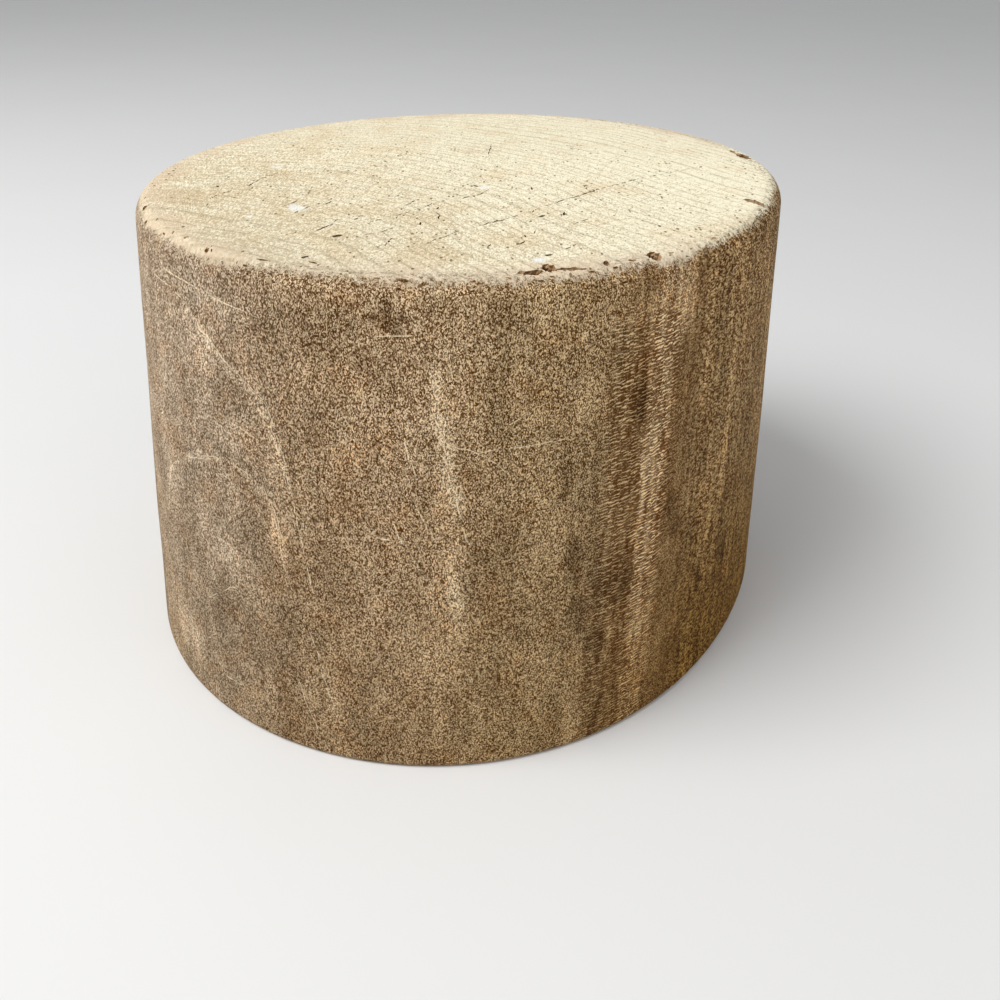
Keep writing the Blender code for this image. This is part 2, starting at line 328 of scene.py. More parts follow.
# Pale scratches and rubbed arcs in the wall: width and depth in mm, then points as an angle
# round the block in degrees and a height in mm
WALL_SCRATCHES = (
    (0.42, 0.12, ((-106.0, 106.4), (-99.0, 106.0), (-91.0, 104.6), (-86.4, 103.4))),
    (0.36, 0.10, ((-110.0, 103.6), (-104.0, 103.2), (-101.0, 102.2))),
    (0.40, 0.10, ((-98.5, 97.6), (-95.0, 95.8), (-92.5, 92.6), (-88.5, 89.2), (-85.8, 86.0),
                  (-84.2, 80.0), (-83.2, 74.5), (-82.2, 67.0), (-81.2, 58.0), (-79.8, 45.0))),
    (0.30, 0.08, ((-101.0, 96.0), (-98.4, 95.6), (-96.6, 96.4))),
    (0.40, 0.09, ((-104.5, 65.6), (-99.5, 67.0), (-96.0, 69.4), (-92.0, 70.0), (-89.0, 69.2),
                  (-86.6, 66.4), (-85.2, 62.0), (-84.4, 56.0), (-84.0, 51.0), (-82.8, 44.0))),
    (0.30, 0.08, ((-85.6, 64.0), (-84.6, 60.0), (-84.0, 54.0))),
    (0.34, 0.09, ((-92.4, 79.2), (-90.2, 79.0), (-88.6, 78.2), (-87.0, 77.6))),
    (0.30, 0.09, ((-85.0, 73.4), (-82.8, 73.6))),
    (0.30, 0.09, ((-80.0, 74.0), (-78.2, 73.4))),
    (0.34, 0.10, ((-95.0, 66.2), (-93.0, 66.2))),
    (0.55, 0.15, ((-112.0, 70.2), (-110.6, 71.6))),
    (0.44, 0.11, ((-111.6, 44.0), (-110.6, 49.0), (-109.6, 55.0), (-108.0, 60.0))),
    (0.36, 0.09, ((-110.4, 71.0), (-109.2, 78.0), (-107.6, 86.0), (-105.2, 92.0), (-103.0, 97.0))),
    (0.34, 0.09, ((-99.0, 31.0), (-96.4, 34.6), (-93.6, 38.4), (-92.0, 38.0), (-91.0, 35.6))),
    (0.50, 0.13, ((-100.6, 18.6), (-99.6, 19.2))),
    (0.46, 0.10, ((-97.0, 10.8), (-93.0, 11.0), (-89.0, 10.6))),
    (0.34, 0.09, ((-80.2, 34.0), (-79.0, 26.0), (-77.6, 17.0), (-76.6, 12.0))),
    (0.26, 0.08, ((-82.2, 20.0), (-81.0, 13.0), (-79.6, 7.0))),
    (0.46, 0.14, ((-67.0, 82.4), (-66.4, 78.6), (-65.8, 75.6), (-65.5, 73.0))),
    (0.42, 0.14, ((-68.4, 64.2), (-68.0, 61.8), (-67.6, 59.6))),
    (0.60, 0.14, ((-70.6, 60.6), (-69.4, 60.2), (-68.8, 60.2))),
    (0.36, 0.10, ((-70.0, 65.8), (-69.4, 65.2))),
    (0.30, 0.08, ((-65.8, 70.0), (-63.6, 62.0), (-62.6, 57.2))),
    (0.40, 0.10, ((-60.8, 70.0), (-60.2, 66.0), (-59.4, 62.6), (-58.6, 59.4))),
    (0.34, 0.09, ((-61.0, 82.0), (-58.4, 80.4), (-56.2, 78.4), (-53.8, 75.0))),
    (0.34, 0.09, ((-57.6, 79.8), (-54.0, 80.8), (-50.4, 80.8), (-46.0, 81.2))),
    (0.26, 0.07, ((-54.6, 85.0), (-51.6, 87.2), (-48.4, 89.4))),
    (0.40, 0.09, ((-64.2, 41.6), (-61.8, 41.4), (-59.0, 41.6))),
    (0.34, 0.09, ((-70.4, 103.4), (-68.0, 103.8), (-66.0, 103.8))),
    (0.30, 0.08, ((-60.8, 112.0), (-59.6, 109.6), (-58.6, 108.0))),
    (0.36, 0.09, ((-11.6, 70.0), (-7.0, 72.4), (-2.0, 75.6))),
    (0.30, 0.08, ((-87.4, 112.0), (-85.4, 108.6), (-83.8, 105.6))),
)

# Broad marks in the timber's colour: angle in degrees and height in mm, reach across and up in
# mm, and how much paler or darker they make it
WALL_STAINS = (
    ((-68.6, 107.0), (3.2, 2.8), -0.45),
    ((-72.0, 97.0), (2.6, 3.0), -0.30),
    ((-42.4, 97.0), (5.0, 5.0), -0.22),
    ((-25.4, 57.5), (1.5, 4.6), -0.50),
    ((-23.8, 50.5), (2.4, 4.0), -0.50),
    ((-15.2, 29.5), (1.9, 4.2), -0.95),
    ((-5.6, 30.5), (2.0, 6.0), -0.85),
    ((-45.4, 72.0), (1.4, 7.0), -0.40),
    ((-44.0, 53.0), (1.5, 10.0), -0.60),
    ((-42.9, 38.0), (1.9, 6.0), -0.55),
    ((-62.0, 34.0), (3.0, 13.0), 0.30),
    ((-39.8, 29.0), (2.8, 4.0), -0.50),
    ((-33.4, 85.0), (2.0, 6.0), -0.55),
    ((-36.0, 45.0), (5.0, 7.0), -0.22),
    ((-102.0, 34.0), (12.0, 13.0), -0.12),
    ((-95.0, 32.0), (5.0, 7.0), -0.14),
    ((-79.0, 102.0), (9.0, 8.0), -0.22),
    ((-96.5, 91.5), (5.0, 5.0), 0.34),
    ((-91.5, 77.0), (5.0, 3.6), 0.26),
    ((-93.5, 46.0), (5.0, 7.0), 0.30),
    ((-84.4, 74.5), (3.0, 10.0), 0.20),
    ((-84.2, 58.0), (2.4, 9.0), 0.30),
    ((-106.0, 14.0), (7.0, 7.0), 0.40),
    ((-29.0, 104.0), (8.0, 7.0), 0.42),
    ((-31.0, 62.0), (3.2, 22.0), 0.34),
    ((-29.0, 24.0), (6.0, 14.0), 0.20),
    ((-61.8, 56.0), (4.0, 14.0), 0.20),
    ((-66.0, 33.0), (5.0, 11.0), 0.20),
    ((-77.0, 16.0), (2.2, 9.0), 0.30),
    ((150.0, 70.0), (16.0, 20.0), -0.30),
    ((118.0, 34.0), (9.0, 16.0), 0.26),
    ((66.0, 82.0), (11.0, 9.0), -0.34),
    ((84.0, 40.0), (3.0, 22.0), 0.34),
    ((200.0, 52.0), (6.0, 12.0), -0.36),
    ((172.0, 20.0), (14.0, 6.0), 0.26),
    ((38.0, 40.0), (5.0, 16.0), -0.24),
)

# Long smears of pale dust on the wall: reach in mm, strength, then points as an angle and a height
WALL_SMEARS = (
    (1.4, 0.70, ((-63.6, 96.0), (-62.6, 88.0))),
    (2.5, 0.90, ((-62.6, 88.0), (-61.6, 80.0), (-60.8, 70.0))),
    (1.5, 0.40, ((-60.6, 68.0), (-60.4, 60.0), (-59.6, 50.0))),
    (2.2, 0.75, ((-61.8, 57.0), (-60.6, 50.0), (-60.0, 43.5))),
    (1.0, 0.75, ((-106.0, 97.0), (-100.0, 101.0), (-95.0, 95.0),
                 (-88.5, 89.0), (-84.5, 80.0), (-82.5, 68.0))),
    (0.9, 0.65, ((-112.0, 48.0), (-108.0, 60.0), (-102.0, 67.0),
                 (-92.0, 70.0), (-86.0, 66.0), (-84.0, 52.0))),
    (1.6, 0.50, ((-108.0, 105.0), (-96.0, 105.0), (-88.0, 103.0))),
    (1.4, 0.45, ((-99.0, 14.0), (-94.0, 11.0), (-88.0, 11.0))),
    (1.0, 0.50, ((-78.6, 26.0), (-77.0, 12.0))),
    (1.2, 0.40, ((-32.6, 78.0), (-31.0, 50.0), (-31.6, 20.0))),
)


class Value:
    """A number or a place that varies over a surface; sums and products of it set out their nodes"""

    def __init__(self, socket, operate):
        self.socket = socket
        self.operate = operate

    def __add__(self, other):
        return self.operate("ADD", self, other)

    def __sub__(self, other):
        return self.operate("SUBTRACT", self, other)

    def __rsub__(self, other):
        return self.operate("SUBTRACT", other, self)

    def __mul__(self, other):
        return self.operate("MULTIPLY", self, other)

    def __truediv__(self, other):
        return self.operate("DIVIDE", self, other)

    def length(self):
        return self.operate("LENGTH", self)

    __radd__ = __add__
    __rmul__ = __mul__


class Bench:
    """Sets out the nodes of a material or group and joins them up"""

    def __init__(self, tree):
        self.tree = tree

    def place(self):
        """Where a point is, in mm"""
        coordinates = self.node("ShaderNodeTexCoord").outputs["Object"]
        return self.vector("MULTIPLY", coordinates, (1 / MM, 1 / MM, 1 / MM))

    def node(self, kind, *values, **settings):
        """A node with its settings made and values fed to its sockets in order"""
        made = self.tree.nodes.new(kind)
        for name, setting in settings.items():
            setattr(made, name, setting)
        for socket, value in zip(made.inputs, values):
            self.feed(socket, value)
        return made

    def feed(self, socket, value):
        """Joins a value or another node's socket to a socket, or sets a constant on it"""
        if isinstance(value, Value):
            value = value.socket
        if isinstance(value, bpy.types.NodeSocket):
            self.tree.links.new(value, socket)
        else:
            socket.default_value = value

    def math(self, operation, first, second=0.0, third=0.0, clamp=False):
        made = self.node("ShaderNodeMath", first, second, third, operation=operation, use_clamp=clamp)
        return Value(made.outputs[0], self.math)

    def vector(self, operation, first, second=(0.0, 0.0, 0.0)):
        made = self.node("ShaderNodeVectorMath", first, second, operation=operation)
        if operation in ("LENGTH", "DOT_PRODUCT"):
            return Value(made.outputs["Value"], self.math)
        return Value(made.outputs["Vector"], self.vector)

    def combine(self, x, y, z):
        return Value(self.node("ShaderNodeCombineXYZ", x, y, z).outputs[0], self.vector)

    def separate(self, vector):
        return [Value(part, self.math) for part in self.node("ShaderNodeSeparateXYZ", vector).outputs]

    def grain(self, vector, size, detail=2.0, roughness=0.5, coloured=False):
        """Noise with lumps of about a size, in the vector's own units"""
        shares = tuple(1 / part for part in (size if isinstance(size, tuple) else (size, size, size)))
        made = self.node("ShaderNodeTexNoise", vector * shares, noise_dimensions="3D")
        made.inputs["Scale"].default_value = 1.0
        made.inputs["Detail"].default_value = detail
        made.inputs["Roughness"].default_value = roughness
        return Value(made.outputs[1], self.vector) if coloured else Value(made.outputs[0], self.math)

    def crumbs(self, vector, size):
        """Crumbs of about a size: how light each is, from 0 to 1, and the distance from its middle"""
        shares = tuple(1 / part for part in size)
        made = self.node("ShaderNodeTexVoronoi", vector * shares, voronoi_dimensions="3D", feature="F1")
        made.inputs["Scale"].default_value = 1.0
        picked = self.node("ShaderNodeSeparateColor", made.outputs["Color"])
        return Value(picked.outputs[0], self.math), Value(made.outputs["Distance"], self.math)

    def remap(self, value, low, high, to_low=0.0, to_high=1.0):
        ends = (low, high, to_low, to_high)
        made = self.node("ShaderNodeMapRange", value, *ends, interpolation_type="SMOOTHSTEP")
        return Value(made.outputs[0], self.math)

    def blend(self, share, first, second, kind="MIX"):
        made = self.node("ShaderNodeMix", share, data_type="RGBA", blend_type=kind)
        for socket, value in ((made.inputs[6], first), (made.inputs[7], second)):
            self.feed(socket, value if isinstance(value, bpy.types.NodeSocket) else (*value, 1.0))
        return made.outputs[2]

    def bump(self, shader, height, strength):
        """Fine relief of a finish, with its height in mm"""
        made = self.node("ShaderNodeBump")
        made.inputs["Strength"].default_value = strength
        made.inputs["Distance"].default_value = MM
        self.feed(made.inputs["Height"], height)
        self.feed(shader.inputs["Normal"], made.outputs[0])

    def window(self, value, low, high, ease):
        """1 between two values and 0 outside them, eased over a width"""
        rising = self.remap(value, low - ease, low + ease)
        return rising * self.remap(value, high - ease, high + ease, 1.0, 0.0)


# Shape of the block

def oval_radius(angle, length, width):
    """Distance from the block's axis to its outline, at an angle from +X"""
    sizes = bpy.context.scene.hat_block_sizes
    mean = (length + width) / 4
    stretch = (length - width) / 4
    hand = sizes.fullness * np.cos(3 * (angle - sizes.fullness_angle))
    return mean - stretch * np.cos(2 * angle) + hand


def outline_shift(length, width):
    """How far an oval moves so that its extents are centred on the axis"""
    angles = np.linspace(0, 2 * math.pi, OUTLINE_POINTS, endpoint=False)
    radii = oval_radius(angles, length, width)
    points = np.column_stack((radii * np.cos(angles), radii * np.sin(angles)))
    return (points.min(axis=0) + points.max(axis=0)) / 2


def section(share):
    """Length and width of the oval at a share of the height"""
    sizes = bpy.context.scene.hat_block_sizes
    swell = 2 * sizes.belly * (1 - (2 * share - 1) ** 2) - 2 * sizes.skin
    length = sizes.base_length + (sizes.crown_length - sizes.base_length) * share + swell
    width = sizes.base_width + (sizes.crown_width - sizes.base_width) * share + swell
    return length, width


def wall_point(angle, height):
    """A point on the wall, from an angle round the block and a height"""
    length, width = section(height / bpy.context.scene.hat_block_sizes.height)
    radius = float(oval_radius(angle, length, width))
    shift = outline_shift(length, width)
    return Vector((radius * math.cos(angle) - shift[0], radius * math.sin(angle) - shift[1], height))


def ring_phase(reach):
    """Count of growth rings out from the pith, uneven as the years were; reach is in mm"""
    waves = sum(share * np.sin(reach / length) for share, length in RING_WAVES)
    return reach / RING_SPACING + waves


def ring_y(x, across):
    """Where along Y a line of the crown's rings lies at a place along X, in mm"""
    (right, right_turn, right_fall), (left, left_turn, left_fall) = RING_FALLS
    fallen = right_fall * rounded_step(x - right, right_turn)
    fallen += left_fall * rounded_step(left - x, left_turn)
    y = across - fallen
    for _ in range(3):
        swung = sum(
            swing * math.sin(x / along_x + y / along_y + start)
            for swing, along_x, along_y, start in RING_SWINGS
        )
        y = across - fallen - swung
    return y


def rounded_step(value, width):
    """Nothing below 0 and the value itself above it, with a round turn between"""
    return (value + math.sqrt(value * value + width * width)) / 2


# Working on objects

def select_only(*pieces):
    bpy.ops.object.select_all(action="DESELECT")
    for piece in pieces:
        piece.select_set(True)
    bpy.context.view_layer.objects.active = pieces[0]


def edit_all(piece, kind="VERT"):
    select_only(piece)
    bpy.ops.object.mode_set(mode="EDIT")
    bpy.ops.mesh.select_mode(type=kind)
    bpy.ops.mesh.select_all(action="SELECT")


def leave_edit():
    bpy.ops.object.mode_set(mode="OBJECT")


def select_edges_at(piece, height):
    """In edit mode, leaves only the edges selected whose two ends lie at a height"""
    bpy.ops.mesh.select_mode(type="EDGE")
    bpy.ops.mesh.select_all(action="DESELECT")
    leave_edit()
    spots = piece.data.vertices
    for edge in piece.data.edges:
        edge.select = all(abs(spots[end].co.z - height) < 0.01 * MM for end in edge.vertices)
    bpy.ops.object.mode_set(mode="EDIT")


def apply_modifier(piece, modifier):
    select_only(piece)
    bpy.ops.object.modifier_apply(modifier=modifier.name)


def join(pieces, name):
    select_only(*pieces)
    if len(pieces) > 1:
        bpy.ops.object.join()
    joined = bpy.context.object
    joined.name = name
    return joined


def boolean(piece, other, operation="DIFFERENCE", crossing=False):
    """Cuts or keeps with another solid, which leaves its own material on the faces it makes"""
    cut = piece.modifiers.new("cut", "BOOLEAN")
    cut.operation = operation
    cut.solver = "EXACT"
    cut.material_mode = "TRANSFER"
    cut.use_self = crossing
    cut.object = other
    before = len(piece.data.polygons)
    apply_modifier(piece, cut)
    if len(piece.data.polygons) == before:
        raise RuntimeError("nothing was cut by " + other.name)
    bpy.data.objects.remove(other, do_unlink=True)


def place_copy(pattern, size, place, turn):
    """A copy of a unit pattern, stretched, turned about Z and put in place, with its own mesh"""
    mesh = pattern.data.copy()
    stretch = Matrix.Diagonal((*size, 1.0))
    mesh.transform(Matrix.Translation(place) @ Matrix.Rotation(turn, 4, "Z") @ stretch)
    copy = bpy.data.objects.new(pattern.name, mesh)
    bpy.context.scene.collection.objects.link(copy)
    return copy


def lump_pattern(seed, fineness):
    """A ragged unit lump, for what breaks away"""
    bpy.ops.mesh.primitive_ico_sphere_add(subdivisions=fineness, radius=0.5)
    lump = bpy.context.object
    edit_all(lump)
    bpy.ops.transform.vertex_random(offset=0.14, uniform=0.5, normal=0.5, seed=seed)
    leave_edit()
    return lump


def slit_pattern():
    """A unit slit, pointed at both ends and narrowing with depth, hanging from z = 0"""
    bpy.ops.mesh.primitive_cylinder_add(vertices=6, radius=0.5, depth=1.0, location=(0, 0, -0.4))
    slit = bpy.context.object
    bpy.ops.object.transform_apply(location=True, rotation=False, scale=False)
    edit_all(slit)
    bpy.ops.mesh.select_all(action="DESELECT")
    leave_edit()
    for spot in slit.data.vertices:
        spot.select = spot.co.z < 0
    bpy.ops.object.mode_set(mode="EDIT")
    bpy.ops.transform.resize(value=(0.75, 0.3, 1.0), center_override=(0, 0, -0.9))
    leave_edit()
    return slit


def finish(name):
    return bpy.data.materials[name]


def block():
    return bpy.data.objects["crown_billet"]


def turned(name, profile, steps, hollow=False):
    """A solid turned about Z: a ring, or a disc, drawn out through radii and heights"""
    (radius, height), *rest = profile
    bpy.ops.mesh.primitive_circle_add(
        vertices=steps, radius=radius, fill_type="NOTHING" if hollow else "NGON", location=(0, 0, height)
    )
    made = bpy.context.object
    made.name = name
    bpy.ops.object.transform_apply(location=True, rotation=False, scale=False)
    edit_all(made, "VERT" if hollow else "FACE")
    for next_radius, next_height in rest:
        bpy.ops.mesh.extrude_region_move(TRANSFORM_OT_translate={"value": (0, 0, next_height - height)})
        grow = next_radius / radius
        bpy.ops.transform.resize(value=(grow, grow, 1), center_override=(0, 0, next_height))
        radius, height = next_radius, next_height
    bpy.ops.mesh.select_all(action="SELECT")
    bpy.ops.mesh.remove_doubles(threshold=0.00001)
    bpy.ops.mesh.normals_make_consistent(inside=False)
    leave_edit()
    return made


# Timber and iron

class Places:
    """Where a point of the timber lies, in mm: along the axes, round the block and from the pith"""

    def __init__(self, bench):
        self.spot = bench.place()
        self.x, self.y, self.z = bench.separate(self.spot)
        self.degrees = bench.math("ARCTAN2", self.y, self.x) * (180 / math.pi)
        self.mottle = bench.grain(self.spot, 13, detail=3.0, roughness=0.6)
        self.grit = bench.grain(self.spot, 0.27, detail=2.0, roughness=0.65)
        warp = bench.grain(self.spot, 4.0, detail=3.0, coloured=True)
        self.warp = (warp - (0.5, 0.5, 0.5)) * (7.0, 7.0, 10.0)

        # Fibres lean a little, and wander
        slow = bench.grain(self.spot, (34, 34, 70), detail=1.0)
        wander = (slow - 0.5) * 5.0
        lean_x = self.x + self.z * FIBRE_LEAN[0] + wander
        lean_y = self.y + self.z * FIBRE_LEAN[1]
        self.lean = bench.combine(lean_x, lean_y, self.z)
        self.reach, self.arc = pith_reach(bench, lean_x, lean_y, WALL_PITH)

        # Soft and dusty at the left, long flecks in a band, warmer and streaky to their right
        left = bench.remap(self.degrees, -76.0, -98.0)
        back = bench.remap(self.degrees, 150.0, 172.0)
        self.soft = bench.math("MAXIMUM", left, back)
        self.fleck_line = self.degrees - self.z * 0.03 + 35.5
        self.flecked = bench.window(self.fleck_line, -6.5, 7.5, 2.5)
        fading = bench.remap(self.degrees, 90.0, 150.0, 1.0, 0.0)
        self.warm = bench.remap(self.fleck_line, -9.0, 3.0) * fading
        self.yellowed = bench.remap(self.fleck_line, -36.0, -14.0) * fading
        gold_width = bench.remap(self.z, 92.0, 104.0, 6.5, 10.0)
        gold_left = bench.remap(self.fleck_line, -0.5, 2.5)
        self.gold = gold_left * bench.remap(gold_width - self.fleck_line, -1.0, 2.0)
        self.streaky = bench.window(self.degrees, -22.0, 60.0, 6.0)


def pith_reach(bench, x, y, pith):
    """Distance from the pith, and the way round it"""
    across = x - pith[0]
    along = y - pith[1]
    reach = bench.combine(across, along, 0.0).length()
    return reach, bench.math("ARCTAN2", along, across) * RAY_REACH


def rings(bench, reach):
    """Growth rings as a share from early wood, 0, to late wood, 1"""
    phase = reach / RING_SPACING
    for share, length in RING_WAVES:
        wave = bench.math("SINE", reach / length)
        phase += wave * share
    return bench.math("FRACT", phase)


def stained(bench, at):
    """Broad pale and dark marks of the wall, added up"""
    warped = at.spot + at.warp
    marks = 0.0
    for (degrees, height), (across, up), weight in WALL_STAINS:
        middle = wall_point(math.radians(degrees), height * MM) / MM
        off = warped - tuple(middle)
        width = 1 / (MM_PER_DEGREE * across)
        apart = (off * (width, width, 1 / up)).length()
        marks += bench.remap(apart, 0.25, 1.25, 1.0, 0.0) * weight
    return marks


def smeared(bench, at):
    """Long pale smears of dust on the wall, each along a line with a soft, ragged edge"""
    lumps = bench.grain(at.spot, 0.8, detail=2.0) - 0.5
    curls = bench.remap(bench.math("ABSOLUTE", lumps), 0.10, 0.0, 0.45, 1.0)
    ragged = lumps * 5.0
    half = at.spot + at.warp * (0.55, 0.55, 0.55)
    dust = 0.0
    for width, weight, run in WALL_SMEARS:
        spots = [wall_point(math.radians(degrees), height * MM) / MM for degrees, height in run]
        nearest = None
        for start, end in zip(spots, spots[1:]):
            along = end - start
            off = half - tuple(start)
            share = bench.vector("DOT_PRODUCT", off, tuple(along / along.length_squared))
            held = bench.math("ADD", share, 0.0, clamp=True)
            foot = bench.combine(held, held, held) * tuple(along)
            apart = (off - foot).length()
            nearest = apart if nearest is None else bench.math("MINIMUM", nearest, apart)
        near = bench.remap(nearest + ragged, 0.0, 1.2 * width, weight, 0.0) * curls
        dust = bench.math("MAXIMUM", near, dust)
    return dust


def soft_step(bench, value, width):
    """Nothing below 0 and the value itself above it, with a round turn between"""
    square = value * value + width * width
    return (value + bench.math("SQRT", square)) * 0.5


def side_ticks(bench, at):
    """Cut rays and pores of the side grain: fine ticks, and long flecks where rays lie in the wall"""
    tilt = soft_step(bench, 140.0 - at.arc, 6.0) * 0.45
    tipped = at.z - at.reach * 0.16 - tilt
    lying = bench.combine(at.arc, tipped, at.reach)
    rays = bench.grain(lying, (0.20, 0.32, 0.85), detail=2.0, roughness=0.65)
    crumbs, _ = bench.crumbs(at.spot, (0.19, 0.19, 0.32))
    far_crumbs, _ = bench.crumbs(lying, (0.62, 0.34, 0.60))
    crumbs = crumbs + (far_crumbs - crumbs) * at.streaky
    clumps = bench.grain(at.spot, (1.1, 1.1, 1.5), detail=2.0)
    clumped = bench.math("MAXIMUM", bench.remap(at.degrees, -62.0, -80.0), at.soft) * 0.07
    ticks = rays * 0.28 + at.grit * 0.1 + crumbs * 0.27 + 0.175 + (clumps - 0.5) * clumped
    along = at.fleck_line * MM_PER_DEGREE
    wobble = bench.grain(at.lean, (30, 30, 24), detail=1.0)
    column = bench.math("FLOOR", along / 2.9 + wobble * 3.0)
    raised = at.z - along * 0.1 + column * 7.3
    unevenly = bench.grain(bench.combine(along, raised, column), (1.7, 1.0, 1), detail=2.0)
    row = raised / 0.78 + unevenly * 2.0
    crest = bench.math("SINE", row * (2 * math.pi)) * 0.5 + 0.5
    dashes = bench.grain(bench.combine(along, raised, column), (2.1, 0.5, 1), detail=1.0)
    dashes = bench.remap(dashes, 0.40, 0.60, 0.15, 1.1)
    flecks = bench.math("POWER", crest, 2.0) * dashes * 0.42 + 0.41
    fading = bench.remap(at.z, 50.0, 24.0, 1.0, 0.75)
    laid = bench.remap(at.z, 101.0, 107.0, 0.58, 0.12) * fading
    return ticks + (flecks - ticks) * at.flecked * laid


def side_grain(bench, at, ticks, colours):
    """Colour of the side grain, and how light each tick of it is"""
    streaks = bench.grain(at.lean, (1.0, 1.0, 22), detail=2.0)
    bands = bench.grain(at.lean, (5.5, 5.5, 90), detail=2.0)
    blotches = bench.grain(at.spot, (9, 9, 13), detail=3.0, roughness=0.6)
    columns = bench.grain(bench.combine(at.fleck_line, at.z, 0.0), (1.0, 16, 1), detail=1.0)
    late = bench.remap(rings(bench, at.reach), 0.25, 0.95)
    marks = stained(bench, at)
    smears = smeared(bench, at)

    shift = (
        (bands - 0.5) * 0.02 + (blotches - 0.5) * 0.05
        + (streaks - 0.5) * (at.streaky * 0.06 + 0.03) + (columns - 0.5) * at.flecked * 0.2
        - late * (at.streaky * 0.03 + 0.008) - at.flecked * 0.02 + marks * 0.05 + smears * 0.1
    )
    middle = 0.497 - shift
    contrast = at.streaky * 0.01 + 0.155
    lightness = bench.remap(ticks, middle - contrast, middle + contrast)

    light = bench.blend(at.soft, colours.wall_light, colours.dusty_light)
    light = bench.blend(at.yellowed, light, colours.yellow_light)
    light = bench.blend(at.warm, light, colours.warm_light)
    light = bench.blend(at.streaky * 0.85, light, colours.far_light)
    light = bench.blend(at.gold * 0.85, light, colours.golden)
    light = bench.blend(smears * 0.6, light, colours.dust)
    dark = bench.blend(at.soft, colours.wall_dark, colours.dusty_dark)
    dark = bench.blend(at.warm, dark, colours.warm_dark)
    side = bench.blend(bench.math("POWER", lightness, 1.8), dark, light)

    ruddy = bench.grain(at.spot, 7.0, detail=2.0)
    side = bench.blend(bench.remap(ruddy, 0.52, 0.68, 0.0, 0.34), side, colours.ruddy, kind="MULTIPLY")
    side = bench.blend(bench.remap(ruddy, 0.48, 0.34, 0.0, 0.20), side, colours.grey, kind="MULTIPLY")
    tone = (
        bands * (at.streaky * 0.4 + 0.42) + blotches * 0.45 + marks * 0.5 - 0.475
        + bench.remap(at.z, 62.0, 96.0) * (0.085 - at.warm * 0.04) + at.gold * 0.37
        - at.streaky * 0.22 + smears * 0.12
    )
    shade = bench.blend(bench.remap(tone, -0.42, 0.42), colours.dimmed, colours.brightened)
    side = bench.blend(1.0, side, shade, kind="MULTIPLY")
    # Darker towards the base, and more so low on the streaky side: partly grime of handling, partly
    # painted shade where a dark floor would send no light back up the wall
    held = (
        bench.remap(at.z, 76.0, 2.0) * (at.warm * 0.3 + 0.18)
        + bench.remap(at.z, 24.0, 0.0, 0.0, 0.05)
        + bench.remap(at.z, 70.0, 20.0, 0.0, 0.33) * at.streaky
    )
    side = bench.blend(held, side, colours.handled_and_shaded, kind="MULTIPLY")
    return side, lightness


def crown_rings(bench, at):
    """Way across the crown's rings, which lie along X and fall away on either side"""
    (right, right_turn, right_fall), (left, left_turn, left_fall) = RING_FALLS
    across = (
        at.y + soft_step(bench, at.x - right, right_turn) * right_fall
        + soft_step(bench, left - at.x, left_turn) * left_fall
    )
    for swing, along_x, along_y, start in RING_SWINGS:
        phase = at.x / along_x + at.y / along_y + start
        across += bench.math("SINE", phase) * swing
    return across


def open_pores(bench, at, torn):
    """Pores as round specks of uneven size, thicker in some patches"""
    chosen, apart = bench.crumbs(torn, (1.0, 2.3, 5))
    size = bench.remap(chosen + at.mottle * 0.4, 0.86, 1.24, 0.0, 0.3)
    return bench.remap(apart - size, -0.03, 0.05, 1.0, 0.0)


def crown_patches(bench, at):
    """Browner patches of the crown, added up"""
    patches = 0.0
    warped = at.spot + at.warp
    for (x, y), size, weight in CROWN_PATCHES:
        off = (warped - (x, y, CROWN_TOP)) * (1.0, 1.3, 0.0)
        near = bench.remap(off.length(), 0.2 * size, 1.3 * size, weight, 0.0)
        patches += near
    return patches


